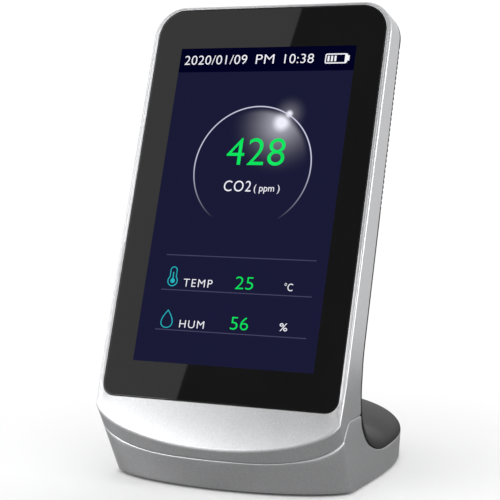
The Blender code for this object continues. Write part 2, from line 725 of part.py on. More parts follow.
def make_button():
    """Power button held by a flange behind the wall, and the switch with the plunger it presses."""
    spans = ((BUTTON_X - SWITCH_HALF, BUTTON_X + SWITCH_HALF), SWITCH_Y, SWITCH_Z)
    body = span_box("switch_body", spans, "chip")
    floor = PLUNGER_Y - BUTTON_TRAVEL - GAP
    well = rod("switch_well", (BUTTON_X, floor, PORT_Z), (0, 1, 0), 3.0, PLUNGER_RADIUS + 0.2)
    boolean(body, well, "DIFFERENCE")
    rod("switch_plunger", (BUTTON_X, PLUNGER_Y, PORT_Z), (0, 1, 0), PLUNGER_LENGTH, PLUNGER_RADIUS,
        "membrane")
    half, height = BUTTON_HALF
    button = prism("power_button", pill(half, height, 1.45), *BUTTON_Y, rear_matrix(BUTTON_X),
                   "black_plastic")
    flange = span_box("button_flange", ((BUTTON_X - FLANGE_HALF, BUTTON_X + FLANGE_HALF), FLANGE_Y,
                                        (PORT_Z - height, PORT_Z + height)))
    boolean(button, flange, "UNION")


def main():
    outer = base_block("block_outer", 0.0, (0.0, *BLOCK_LEVELS))
    inner = base_block("block_inner", WALL, (-2.0, *BLOCK_LEVELS))
    make_front_housing(outer, inner)
    base_shell = make_base_shell(inner)
    make_rear_cover()
    add_base_bosses(base_shell)
    add_tail_openings(base_shell)
    make_display()
    make_flex()
    make_main_board()
    make_sensors()
    make_battery()
    make_leads()
    make_bottom()
    make_inlet()
    make_button()


main()
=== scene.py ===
"""Looks of a desk air quality monitor, built around its own frame.

Lengths are millimetres unless a name says otherwise. y is the distance behind the foremost point of
the chin and z the height above the base shell's lower edge; place() turns such points into metres in
the frame. A point of the leaning slab is (x, s, n): s runs up its front face and n into it.
"""
import math

import bmesh
import bpy
import numpy as np
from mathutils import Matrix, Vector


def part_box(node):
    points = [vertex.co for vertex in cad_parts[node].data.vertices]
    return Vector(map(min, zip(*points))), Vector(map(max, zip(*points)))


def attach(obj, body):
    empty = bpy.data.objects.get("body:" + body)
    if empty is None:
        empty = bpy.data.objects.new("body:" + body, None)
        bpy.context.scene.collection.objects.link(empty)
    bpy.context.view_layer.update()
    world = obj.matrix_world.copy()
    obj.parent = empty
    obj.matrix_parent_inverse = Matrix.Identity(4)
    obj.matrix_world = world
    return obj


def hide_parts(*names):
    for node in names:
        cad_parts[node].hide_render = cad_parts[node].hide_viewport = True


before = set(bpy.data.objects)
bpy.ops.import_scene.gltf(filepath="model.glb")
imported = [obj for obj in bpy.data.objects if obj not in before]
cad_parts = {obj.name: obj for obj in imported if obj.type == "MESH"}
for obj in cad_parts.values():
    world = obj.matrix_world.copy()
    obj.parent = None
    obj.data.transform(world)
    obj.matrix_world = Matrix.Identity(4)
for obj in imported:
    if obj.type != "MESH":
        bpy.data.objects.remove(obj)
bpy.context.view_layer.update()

MM = 0.001
BODY = "monitor"
SHARP_ANGLE = 38.0

# --- driving dimensions, taken from the frame where it holds them


def node_box(node):
    """Lowest and highest corner of a CAD node in millimetres."""
    low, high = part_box(node)
    return np.array(low) / MM, np.array(high) / MM


SHELL_LOW, SHELL_HIGH = node_box("base_shell")
HOUSING_LOW, HOUSING_HIGH = node_box("front_housing")
GLASS_LOW, GLASS_HIGH = node_box("cover_glass")
FOOT_LIFT = SHELL_LOW[2]
CHIN_FRONT = HOUSING_LOW[1]
DEPTH = SHELL_HIGH[1] - CHIN_FRONT

LEAN = math.radians(19.23)
FACE_Y = -3.94
SLAB_HALF = HOUSING_HIGH[0]
SLAB_TOP = 143.9
SLAB_CORNER = 9.5
BOTTOM_HALF = 36.9
SIDE_FLARE = 0.0383
CHIN_HALF = 37.7
CHIN_LOW = 12.07
CHIN_RISE = 12.0
CHIN_ELLIPSE = 38.2
NOSE_SET_BACK = 1.9
NOSE_SWEEP = 15.3
NOSE_ELLIPSE = 37.3
TAIL_START = 25.0
TAIL_LENGTH = 62.3
TAIL_FLARE = 0.16
RIM = 7.4
SIDE_TOP = np.array([50.1, 133.6])
SADDLE = np.array([[20.2, 41.3], [13.4, 20.4], [22.2, RIM], [42.2, RIM]])
GROOVE_LOW = 8.4
GROOVE_HIGH = 20.7
GROOVE_START = 0.3
GROOVE_RUN = 10.7
GROOVE_HALF = 0.06
SLAB_CROWN = 4.5
TAIL_CROWN = 9.5
CROWN_FALL = 42.0
CROWN_BLEND = (17.4, 27.6)
CROWN_TOP_FADE = 125.0
SLAB_POWER = 10.0
TAIL_POWER = 2.0
TAIL_BELOW = 12.0
COVER_GAP = 0.3

GLASS_HALF = GLASS_HIGH[0]
GLASS_S = (24.97, 142.66)
GLASS_TOP_RADIUS = 8.1
GLASS_LOW_RADIUS = 3.7
SCREEN_HALF = 28.0
SCREEN_S = (35.4, 130.5)
SCREEN_CORNER = 0.05
GLASS_N = (0.12, 1.2)
GLASS_EDGE = 0.1

PORT_LOW, PORT_HIGH = node_box("power_inlet")
KEY_LOW, KEY_HIGH = node_box("power_button")
TRIM_GAP = 0.25
TAIL_WALL_Y = 83.0


def tail_trim(low, high):
    """Centre (x, z) of a piece in the tail's wall, in the shell's own millimetres."""
    return np.array([(low[0] + high[0]) / 2, (low[2] + high[2]) / 2 - FOOT_LIFT])


PORT_AT = tail_trim(PORT_LOW, PORT_HIGH)
PORT_HALF = np.array([PORT_HIGH[0] - PORT_LOW[0], PORT_HIGH[2] - PORT_LOW[2]]) / 2
BUTTON_AT = tail_trim(KEY_LOW, KEY_HIGH)
BUTTON_HALF = np.array([3.5, 1.5])

UP = np.array([0.0, math.sin(LEAN), math.cos(LEAN)])
INTO = np.array([0.0, math.cos(LEAN), -math.sin(LEAN)])
ORIGIN = np.array([0.0, FACE_Y, 0.0])


# --- places and surfaces

def place(points):
    """Metres in the frame for millimetre points measured from the chin and the shell's edge."""
    return (np.asarray(points, float) + [0.0, CHIN_FRONT, FOOT_LIFT]) * MM


def slab(x, s, n):
    """Points of the leaning slab: x across, s up its face, n into it."""
    x, s, n = np.broadcast_arrays(x, s, n)
    return ORIGIN + x[..., None] * [1.0, 0.0, 0.0] + s[..., None] * UP + n[..., None] * INTO


def slab_coordinates(points):
    """(s, n) of points, the inverse of slab()."""
    moved = points - ORIGIN
    return moved @ UP, moved @ INTO


def unit(vectors):
    """Vectors divided by their own length."""
    return vectors / np.maximum(np.linalg.norm(vectors, axis=-1, keepdims=True), 1e-9)


def loop_tangent(loop):
    """Unit direction along a closed loop, from each point's two neighbours."""
    return unit(np.roll(loop, -1, axis=0) - np.roll(loop, 1, axis=0))


def smooth_step(t):
    """3t^2 - 2t^3, held at 0 and 1 outside 0 to 1."""
    t = np.clip(t, 0, 1)
    return t * t * (3 - 2 * t)


def quarter(corner, first, second, radius, count):
    """Rows of a quarter round: corner + radius (1 - sin a) first + radius (1 - cos a) second."""
    return [corner + radius * ((1 - math.sin(a)) * first + (1 - math.cos(a)) * second)
            for a in np.linspace(0, math.pi / 2, count)]


def placed(name, data):
    """A new object linked to the scene."""
    item = bpy.data.objects.new(name, data)
    bpy.context.scene.collection.objects.link(item)
    return item


def evaluated_mesh(item):
    """A new mesh of an object with its modifiers applied."""
    return bpy.data.meshes.new_from_object(item.evaluated_get(
        bpy.context.evaluated_depsgraph_get()))


def shade(mesh):
    """Smooth shading that breaks at hard edges."""
    mesh.shade_smooth()
    mesh.set_sharp_from_angle(angle=math.radians(SHARP_ANGLE))


def grid_faces(rows, columns, closed_rows=False, closed_columns=False):
    """Quads of a grid of rows x columns vertices, wrapped round where it is closed."""
    r = np.arange(rows if closed_rows else rows - 1)
    c = np.arange(columns if closed_columns else columns - 1)
    i, j = np.meshgrid(r, c, indexing="ij")
    a = i * columns + j
    b = i * columns + (j + 1) % columns
    d = ((i + 1) % rows) * columns + (j + 1) % columns
    e = ((i + 1) % rows) * columns + j
    return np.stack([a, b, d, e], -1).reshape(-1, 4)


def mesh_piece(name, vertices, faces, material, smooth=True, weld=None, outward=True):
    """A mesh object from arrays in metres; weld merges doubles and closes poles."""
    mesh = bpy.data.meshes.new(name)
    vertices = np.asarray(vertices, np.float32).reshape(-1, 3)
    faces = np.asarray(faces, np.int32)
    mesh.vertices.add(len(vertices))
    mesh.vertices.foreach_set("co", vertices.ravel())
    mesh.loops.add(faces.size)
    mesh.loops.foreach_set("vertex_index", faces.ravel())
    mesh.polygons.add(len(faces))
    mesh.polygons.foreach_set("loop_start", np.arange(len(faces), dtype=np.int32) * faces.shape[1])
    mesh.update(calc_edges=True)
    if weld or outward:
        bm = bmesh.new()
        bm.from_mesh(mesh)
        if weld:
            bmesh.ops.remove_doubles(bm, verts=bm.verts, dist=weld * MM)
            bmesh.ops.dissolve_degenerate(bm, edges=bm.edges, dist=1e-7)
        if outward:
            bmesh.ops.recalc_face_normals(bm, faces=bm.faces)
        bm.to_mesh(mesh)
        bm.free()
    mesh.validate()
    if smooth:
        shade(mesh)
    mesh.materials.append(material)
    return placed(name, mesh)


def grid_piece(name, points, material, closed_rows=False, closed_columns=False, **extra):
    """A mesh object from a (rows, columns, 3) grid of millimetre points."""
    rows, columns = points.shape[:2]
    return mesh_piece(name, place(points), grid_faces(rows, columns, closed_rows, closed_columns),
                      material, **extra)


def carve(piece, cutters, solver="EXACT"):
    """Cuts closed bodies, each (vertices in metres, faces), out of a piece and keeps the result."""
    made = []
    for number, (vertices, faces) in enumerate(cutters):
        tool = mesh_piece(f"cutter_{number}", vertices, faces, piece.data.materials[0], smooth=False)
        cut = piece.modifiers.new(tool.name, "BOOLEAN")
        cut.operation = "DIFFERENCE"
        cut.solver = solver
        cut.object = tool
        made.append(tool)
    mesh = evaluated_mesh(piece)
    piece.modifiers.clear()
    piece.data = mesh
    for tool in made:
        bpy.data.objects.remove(tool)
    shade(mesh)


def pill_outline(half, radius_steps=12):
    """Outline (a, b) of a slot with fully round ends; half gives its two half sizes."""
    turn = np.linspace(-math.pi / 2, math.pi / 2, radius_steps)
    right = np.stack([half[0] - half[1] + half[1] * np.cos(turn), half[1] * np.sin(turn)], -1)
    return np.concatenate([right, -right])


def pill_rows(centre, rows):
    """Grid of pill outlines, each (half sizes, depth y), about a centre (x, z) on the tail's wall."""
    grid = []
    for half, depth in rows:
        outline = pill_outline(half)
        grid.append(np.stack([centre[0] + outline[:, 0], np.full(len(outline), depth),
                              centre[1] + outline[:, 1]], -1))
    return np.stack(grid)


def capped(points):
    """Vertices and triangles of a tube of loops with both ends closed by fans."""
    rows, columns = points.shape[:2]
    quads = grid_faces(rows, columns, closed_columns=True)
    vertices = np.concatenate([points.reshape(-1, 3), points[0].mean(axis=0)[None],
                               points[-1].mean(axis=0)[None]])
    a = np.arange(columns)
    b = (a + 1) % columns
    first = np.stack([b, a, np.full(columns, rows * columns)], -1)
    last = (rows - 1) * columns
    second = np.stack([last + a, last + b, np.full(columns, rows * columns + 1)], -1)
    triangles = np.concatenate([quads[:, [0, 1, 2]], quads[:, [0, 2, 3]], first, second])
    return place(vertices), triangles


def pill_bar(centre, half, depths):
    """A straight bar of pill section between two depths."""
    return capped(pill_rows(centre, [(half, depths[0]), (half, depths[1])]))


# --- materials

def linear(colour):
    """Linear RGBA of an sRGB hex value such as "a0a2a4"."""
    channels = [int(colour[i:i + 2], 16) / 255 for i in (0, 2, 4)]
    return (*(c / 12.92 if c <= 0.04045 else ((c + 0.055) / 1.055) ** 2.4 for c in channels), 1.0)


def add(tree, kind, links=None, **settings):
    """A shader node with its attributes or input values set and its inputs linked."""
    item = tree.nodes.new(kind)
    for key, value in settings.items():
        if hasattr(item, key):
            setattr(item, key, value)
        else:
            item.inputs[key.replace("_", " ")].default_value = value
    for key, source in (links or {}).items():
        tree.links.new(source, item.inputs[key])
    return item


def new_material(name, **shader_values):
    """A material with a Principled shader, its tree and the Object coordinates."""
    material = bpy.data.materials.new(name)
    material.use_nodes = True
    tree = material.node_tree
    shader = tree.nodes["Principled BSDF"]
    for key, value in shader_values.items():
        shader.inputs[key.replace("_", " ")].default_value = value
    where = add(tree, "ShaderNodeTexCoord").outputs["Object"]
    return material, tree, shader, where


def grain(tree, where, size, detail=2.0, rough=0.5):
    """Noise whose grains are about size millimetres."""
    return add(tree, "ShaderNodeTexNoise", {"Vector": where}, Scale=1.0 / (size * MM), Detail=detail,
               Roughness=rough).outputs["Fac"]


def ramp(tree, source, low, high, colours):
    """A two-colour blend as source goes from low to high."""
    item = add(tree, "ShaderNodeValToRGB", {"Fac": source})
    item.color_ramp.elements[0].position = low
    item.color_ramp.elements[1].position = high
    item.color_ramp.elements[0].color = linear(colours[0])
    item.color_ramp.elements[1].color = linear(colours[1])
    return item.outputs["Color"]


def spread(tree, source, low, high):
    """source from 0..1 stretched to low..high."""
    return add(tree, "ShaderNodeMapRange", {"Value": source}, To_Min=low, To_Max=high).outputs["Result"]


def bump(tree, shader, height, distance, strength=1.0):
    """Bump of the given depth in millimetres."""
    item = add(tree, "ShaderNodeBump", {"Height": height}, Distance=distance * MM, Strength=strength)
    tree.links.new(item.outputs["Normal"], shader.inputs["Normal"])


def surface(tree, shader, source, colours, roughness, relief=0.0, strength=1.0, ends=(0.3, 0.7),
            broad=None):
    """Colour and relief (mm) that follow source; roughness follows broad, or source without it."""
    tree.links.new(ramp(tree, source, *ends, colours), shader.inputs["Base Color"])
    if roughness:
        tree.links.new(spread(tree, broad or source, *roughness), shader.inputs["Roughness"])
    if relief:
        bump(tree, shader, source, relief, strength)


def silver_paint():
    """Fine metallic silver paint on moulded ABS: satin, with a slight flake sparkle."""
    material, tree, shader, where = new_material("silver_metallic_paint", Metallic=0.85,
                                                 Coat_Weight=0.15, Coat_Roughness=0.22)
    surface(tree, shader, grain(tree, where, 0.22, 3.0, 0.7), ("b0b1b2", "dadadc"), (0.36, 0.44),
            0.010, 0.5, (0.28, 0.72), grain(tree, where, 9.0, 2.0))
    return material


def dark_cover():
    """Charcoal ABS moulded against a fine spark-eroded texture: matt with a soft broad sheen."""
    material, tree, shader, where = new_material("charcoal_textured_abs", IOR=1.45,
                                                 Specular_IOR_Level=0.3)
    surface(tree, shader, grain(tree, where, 0.16, 3.0, 0.6), ("242425", "2d2d2e"), (0.46, 0.56),
            0.018, 0.7, broad=grain(tree, where, 14.0))
    return material


def black_glass():
    """Cover glass printed black behind: near-black under a flat polished surface."""
    material, tree, shader, where = new_material("black_printed_glass", IOR=1.5, Coat_Weight=0.0)
    surface(tree, shader, grain(tree, where, 22.0, 2.0), ("060606", "090909"), (0.02, 0.035))
    return material


def rubber():
    """Dark moulded silicone rubber: dead matt, with a dusty bloom."""
    material, tree, shader, where = new_material("moulded_silicone_rubber", IOR=1.42)
    surface(tree, shader, grain(tree, where, 1.2, 4.0), ("161616", "232323"), (0.78, 0.92), 0.02,
            ends=(0.3, 0.75))
    return material


def matt_plastic(name, colours, size=0.5, roughness=(0.45, 0.6)):
    """Moulded plastic with a fine texture of about size millimetres."""
    material, tree, shader, where = new_material(name, IOR=1.5)
    surface(tree, shader, grain(tree, where, size, 3.0), colours, roughness, 0.015, 0.6)
    return material


def metal(name, colours, roughness, direction=(1.0, 1.0, 1.0)):
    """Bare metal; unequal direction values draw the grain out into brushing lines."""
    material, tree, shader, where = new_material(name, Metallic=1.0)
    stretched = add(tree, "ShaderNodeMapping", {"Vector": where}, Scale=direction).outputs["Vector"]
    surface(tree, shader, grain(tree, stretched, 0.25, 3.0, 0.6), colours, roughness, 0.006, 0.5)
    return material


def solder_mask():
    """Green printed circuit board: copper tracks raised under a glossy solder mask."""
    material, tree, shader, where = new_material("green_solder_mask", IOR=1.5, Roughness=0.3)
    tracks = add(tree, "ShaderNodeTexBrick", {"Vector": where}, offset=0.37, squash=0.6,
                 Scale=1 / (2.2 * MM), Mortar_Size=0.05, Mortar_Smooth=0.2).outputs["Fac"]
    surface(tree, shader, tracks, ("0c4a27", "1a6b3c"), None, 0.03, ends=(0.2, 0.8))
    return material


MESH_PITCH = 0.6


def woven_mesh():
    """Black nylon dust mesh: the product of two sines, threads crossing over and under, its colour darker
    in the dips as painted shade.
    """
    material, tree, shader, where = new_material("black_nylon_mesh", IOR=1.53, Roughness=0.7)
    flat = screen_place(tree, where)
    parts = add(tree, "ShaderNodeSeparateXYZ", {"Vector": flat})
    waves = [math_of(tree, "SINE", math_of(tree, "MULTIPLY", parts.outputs[axis],
                                           2 * math.pi / MESH_PITCH), 0.0) for axis in ("X", "Y")]
    height = math_of(tree, "MULTIPLY", waves[0], waves[1])
    # Colour follows the weave's height, darker where threads dip under: painted shade over the threads'
    # own black.
    surface(tree, shader, height, ("090909", "202020"), None, 0.1, ends=(0.0, 1.0))
    return material


def soft_foam():
    """Open-cell foam: matt, with pores about half a millimetre across, darker down in each pore as
    painted shade.
    """
    material, tree, shader, where = new_material("open_cell_foam", Roughness=0.95, IOR=1.5)
    cells = add(tree, "ShaderNodeTexVoronoi", {"Vector": where}, Scale=1 / (0.5 * MM)).outputs["Distance"]
    # Colour is darkest at each pore's middle, where the relief sinks lowest: painted shade in the
    # hollows.
    surface(tree, shader, cells, ("0e0e0e", "2c2c2c"), None, 0.15, ends=(0.0, 0.7))
    return material


def inner_finishes():
    """Finish of every node that keeps its plain shape."""
    steel = metal("stamped_zinc_plated_steel", ("9a9c9e", "b4b6b8"), (0.28, 0.42))
    board = solder_mask()
    chip = matt_plastic("moulded_black_epoxy", ("131314", "1c1c1e"), 0.25, (0.4, 0.5))
    lead = matt_plastic("red_pvc_insulation", ("8a1414", "a01c1c"), 0.8, (0.35, 0.5))
    membrane = matt_plastic("white_ptfe_membrane", ("d8d8d2", "ecece6"), 0.3, (0.8, 0.95))
    return {
        "glass_gasket": matt_plastic("black_acrylic_adhesive", ("060606", "0d0d0d"), 0.4, (0.7, 0.9)),
        "lcd_panel": matt_plastic("lcd_cell_glass", ("05060c", "0a0b14"), 2.0, (0.08, 0.14)),
        "lcd_backlight": matt_plastic("white_diffuser_film", ("d6d8da", "e6e8ea"), 1.0, (0.5, 0.6)),
        "display_flex": matt_plastic("amber_polyimide_film", ("7a3f10", "96521a"), 0.6, (0.25, 0.4)),
        "main_board": board, "climate_board": board, "co2_board": board, "inlet_board": board,
        "processor": chip, "buzzer": chip, "climate_sensor": chip, "switch_body": chip,
        "radio_can": steel, "ballast_plate": metal("raw_rolled_steel", ("6c6c6a", "86868a"),
                                                   (0.4, 0.6), (1.0, 0.08, 1.0)),
        "board_screw_low_left": steel, "board_screw_low_right": steel,
        "board_screw_high_left": steel, "board_screw_high_right": steel,
        "co2_sensor": metal("gold_plated_brass", ("b98f3c", "d2a850"), (0.2, 0.32)),
        "co2_filter": membrane, "switch_plunger": membrane,
        "dust_mesh": woven_mesh(), "battery_pad": soft_foam(),
        "battery_cell": matt_plastic("aluminised_pouch_foil", ("8c9096", "a6aab0"), 1.5, (0.25, 0.4)),
        "battery_lead": lead, "sensor_lead": lead, "inlet_lead": lead,
        "bottom_plate": matt_plastic("black_sandblasted_abs", ("1b1b1c", "262627"), 0.35, (0.5, 0.65)),
    }


# --- outline curves

def side_half(z):
    """Half width of the silver side walls at height z: flared from the foot up to the slab."""
    return np.minimum(SLAB_HALF, BOTTOM_HALF + SIDE_FLARE * np.asarray(z, float))


def saddle_curve(t):
    """Cubic curve of the saddle seen from the side, as (y, z)."""
    t = np.asarray(t, float)[:, None]
    return ((1 - t) ** 3 * SADDLE[0] + 3 * (1 - t) ** 2 * t * SADDLE[1]
            + 3 * (1 - t) * t ** 2 * SADDLE[2] + t ** 3 * SADDLE[3])


def groove_height(y):
    """Height of the parting groove at depth y: a smooth step up from the chin to the sides."""
    return GROOVE_LOW + (GROOVE_HIGH - GROOVE_LOW) * smooth_step((y - GROOVE_START) / GROOVE_RUN)


def side_s(y, z):
    """How far up the slab's face a point of the side view lies."""
    return (y - FACE_Y) * math.sin(LEAN) + z * math.cos(LEAN)


def rear_edge():
    """Side view of the silver walls' rear edge, from the groove up to the slab's top, as (y, z)."""
    curve = saddle_curve(np.linspace(0, 1, 400))
    curve = curve[curve[:, 1] >= GROOVE_HIGH][::-1]
    line = SADDLE[0] + (SIDE_TOP - SADDLE[0]) * np.linspace(0, 1.12, 60)[1:, None]
    return np.concatenate([curve, line])


def nose_line(across, z=None):
    """The nose is ruled: for each place across (-1 to 1), a straight line from the bottom edge's
    elliptical arc to the chin's half ellipse on the front face. Gives its point at height z."""
    x_low = BOTTOM_HALF * across
    y_low = NOSE_SET_BACK + NOSE_SWEEP * (1 - np.sqrt(1 - (x_low / NOSE_ELLIPSE) ** 2))
    x_chin = CHIN_HALF * across
    s_chin = CHIN_LOW + CHIN_RISE * (1 - np.sqrt(1 - (x_chin / CHIN_ELLIPSE) ** 2))
    chin = slab(x_chin, s_chin, 0.0)
    low = np.stack([x_low, y_low, np.zeros_like(x_low)], -1)
    if z is None:
        return chin
    part = (z / chin[..., 2])[..., None]
    return low + (chin - low) * part


def nose_groove(across, shift):
    """Where the ruled nose meets the groove, found by a few rounds of substitution."""
    z = np.full_like(across, GROOVE_LOW)
    for _ in range(60):
        point = nose_line(across, z)
        z = 0.5 * z + 0.5 * (groove_height(point[..., 1]) + shift)
    return nose_line(across, z)


def along(points, part):
    """Points at the given parts (0 to 1) of a polyline's length."""
    length = np.concatenate([[0], np.cumsum(np.linalg.norm(np.diff(points, axis=0), axis=1))])
    at = np.asarray(part) * length[-1]
    return np.stack([np.interp(at, length, points[:, k]) for k in range(points.shape[1])], -1)


def mirror_x(points):
    """Points mirrored to the other side."""
    return points * [-1.0, 1.0, 1.0]


# Where the slab's top corners start, where the side's groove meets its rear edge, and the saddle's top,
# all up the face; then the clear gap round the glass.
CORNER_S = SLAB_TOP - SLAB_CORNER
SIDE_MEETS = 31.0
SADDLE_S = 46.95
GLASS_GAP = 0.22


def right_side(count):
    """Right-hand stretch of the front outline, and the matching rear boundary and glass edge."""
    chin_s = float(slab_coordinates(nose_line(np.array([1.0])))[0][0])
    s = chin_s + (CORNER_S - chin_s) * np.linspace(0, 1, count) ** 1.25
    height = (s[:, None] * UP)[:, 2]
    edge = slab(side_half(height), s, 0.0)

    start = nose_groove(np.array([1.0]), GROOVE_HALF)[0]
    y = np.linspace(start[1], rear_edge()[0, 0], 60)
    groove = np.stack([y, groove_height(y) + GROOVE_HALF], -1)
    groove[0] = start[1:]
    rear = rear_edge()
    rear_s = side_s(rear[:, 0], rear[:, 1])
    low_part = np.clip((s - chin_s) / (SIDE_MEETS - chin_s), 0, 1)
    target_s = np.interp(s, [SIDE_MEETS, SADDLE_S, 200], [rear_s[0], SADDLE_S, 200])
    upper = np.stack([np.interp(target_s, rear_s, rear[:, k]) for k in (0, 1)], -1)
    lower = along(groove, low_part)
    side = np.where((s < SIDE_MEETS)[:, None], lower, upper)
    back = np.stack([side_half(side[:, 1]), side[:, 0], side[:, 1]], -1)

    low_centre = GLASS_S[0] + GLASS_LOW_RADIUS
    angle = -math.pi / 4 * (1 - low_part)
    glass_x = GLASS_HALF - GLASS_LOW_RADIUS + (GLASS_LOW_RADIUS + GLASS_GAP) * np.cos(angle)
    straight = low_centre + (GLASS_S[1] - GLASS_TOP_RADIUS - low_centre) * (s - SIDE_MEETS) / (
        CORNER_S - SIDE_MEETS)
    glass_s = np.where(s < SIDE_MEETS, low_centre + (GLASS_LOW_RADIUS + GLASS_GAP) * np.sin(angle),
                       straight)
    return edge, back, slab(glass_x, glass_s, 0.0)


def rear_depth(s):
    """Depth into the slab of the silver wall's rear edge at s up the face."""
    rear = rear_edge()
    rear_s = side_s(rear[:, 0], rear[:, 1])
    rear_n = (rear[:, 0] - FACE_Y) * math.cos(LEAN) - rear[:, 1] * math.sin(LEAN)
    return np.interp(s, rear_s, rear_n)


def right_corner(count):
    """Top right corner of the outline and its matching boundaries."""
    angle = np.linspace(0, math.pi / 2, count)
    x = SLAB_HALF - SLAB_CORNER + SLAB_CORNER * np.cos(angle)
    s = CORNER_S + SLAB_CORNER * np.sin(angle)
    radius = GLASS_TOP_RADIUS + GLASS_GAP
    glass = slab(GLASS_HALF - GLASS_TOP_RADIUS + radius * np.cos(angle),
                 GLASS_S[1] - GLASS_TOP_RADIUS + radius * np.sin(angle), 0.0)
    return slab(x, s, 0.0), slab(x, s, rear_depth(s)), glass


def chin_stretch(count):
    """The chin from left to right: front edge, groove edge below it and the glass's lower edge."""
    across = np.sin(np.linspace(-math.pi / 2, math.pi / 2, count))
    edge = nose_line(across)
    back = nose_groove(across, GROOVE_HALF)
    bend = 0.9
    angle = -math.pi / 2 + math.pi / 4 * np.clip((np.abs(across) - bend) / (1 - bend), 0, 1)
    radius = GLASS_LOW_RADIUS + GLASS_GAP
    corner_x = GLASS_HALF - GLASS_LOW_RADIUS
    x = np.where(np.abs(across) < bend, corner_x * across / bend,
                 np.sign(across) * (corner_x + radius * np.cos(angle)))
    s = GLASS_S[0] + GLASS_LOW_RADIUS + radius * np.sin(angle)
    return edge, back, slab(x, s, 0.0)


def housing_loops():
    """Closed loops round the front housing: front edge, end of the wall, and glass pocket edge."""
    side = right_side(150)
    corner = right_corner(40)
    top_x = np.linspace(SLAB_HALF - SLAB_CORNER, SLAB_CORNER - SLAB_HALF, 50)
    glass_top = top_x * (GLASS_HALF - GLASS_TOP_RADIUS) / (SLAB_HALF - SLAB_CORNER)
    top = (slab(top_x, SLAB_TOP, 0.0), slab(top_x, SLAB_TOP, rear_depth(SLAB_TOP)),
           slab(glass_top, GLASS_S[1] + GLASS_GAP, 0.0))
    chin = chin_stretch(240)
    loops = []
    for k in range(3):
        right = np.concatenate([side[k], corner[k][1:]])
        loops.append(np.concatenate([right, top[k][1:-1], mirror_x(right)[::-1], chin[k][1:-1]]))
    return loops


def soften(loop, rounds=3):
    """Rounds the loop's corners a little by averaging neighbours."""
    for _ in range(rounds):
        loop = 0.25 * np.roll(loop, 1, axis=0) + 0.5 * loop + 0.25 * np.roll(loop, -1, axis=0)
    return loop


# Profile of the front housing: glass pocket, crease in the rim, rounded edge and turned-in end.
POCKET_DEPTH = 2.0
POCKET_LIP = 0.15
CREASE_IN = 0.78
CREASE_DEPTH = 0.10
CREASE_ENDS = (24.0, 20.0)
EDGE_ROUND = 0.6
END_ROUND = 0.12
HOUSING_LIP = 1.5
HOUSING_MIDDLE = np.array([0.0, 30.0, 60.0])


def turned_in(loop, down, middle):
    """Unit normal of a wall along its end loop, on the side where the middle of the part lies."""
    inward = unit(np.cross(loop_tangent(loop), down))
    return inward * np.sign(np.sum(inward * (middle - loop), axis=1))[:, None]


def make_front_housing(material):
    """Front housing: every loop point carries one profile, from the glass pocket over the flat rim,
    a fine groove, a rounded edge, the side wall or chin band, and a turned-in lip at its end."""
    edge, back, glass = (soften(loop) for loop in housing_loops())
    into = np.broadcast_to(INTO, edge.shape)
    outward = unit(edge - glass)
    down = unit(back - edge)
    inward = turned_in(back, down, HOUSING_MIDDLE)
    on_chin = smooth_step((CREASE_ENDS[0] - edge[:, 2]) / (CREASE_ENDS[0] - CREASE_ENDS[1]))[:, None]

    rows = [glass + into * POCKET_DEPTH, glass + into * POCKET_LIP * 1.2]
    rows += quarter(glass, into, outward, POCKET_LIP, 4)
    depth = CREASE_DEPTH * (1 - on_chin)
    for offset, part in ((0.16, 0.0), (0.06, 0.6), (0.0, 1.0), (-0.06, 0.6), (-0.13, 0.0)):
        rows.append(edge - outward * (CREASE_IN + offset) + into * depth * part)
    rows += quarter(edge, -outward, down, EDGE_ROUND, 8)
    wall = np.linalg.norm(back - edge, axis=1)[:, None] - EDGE_ROUND - END_ROUND
    rows += [edge + down * (EDGE_ROUND + wall * part) for part in np.linspace(0, 1, 9)[1:-1]]
    rows += quarter(back, -down, inward, END_ROUND, 4)
    rows.append(back + inward * HOUSING_LIP)
    return grid_piece("front_housing_skin", np.stack(rows), material, closed_rows=True,
                      closed_columns=True)


# --- base shell

def tail_plan(angle, z):
    """Tail outline at height z: a superellipse round the rear, from right (0) to left (pi)."""
    half = BOTTOM_HALF + SIDE_FLARE * z
    length = TAIL_LENGTH + TAIL_FLARE * z
    x = half * np.sign(np.cos(angle)) * np.abs(np.cos(angle)) ** 0.8
    y = TAIL_START + length * np.sin(angle) ** (2 / 3)
    return np.stack([x, y, np.broadcast_to(z, x.shape)], -1)


def tail_angle(y):
    """Angle on the tail outline at depth y on the bottom edge."""
    return np.arcsin(np.clip((y - TAIL_START) / TAIL_LENGTH, 0, 1) ** 1.5)


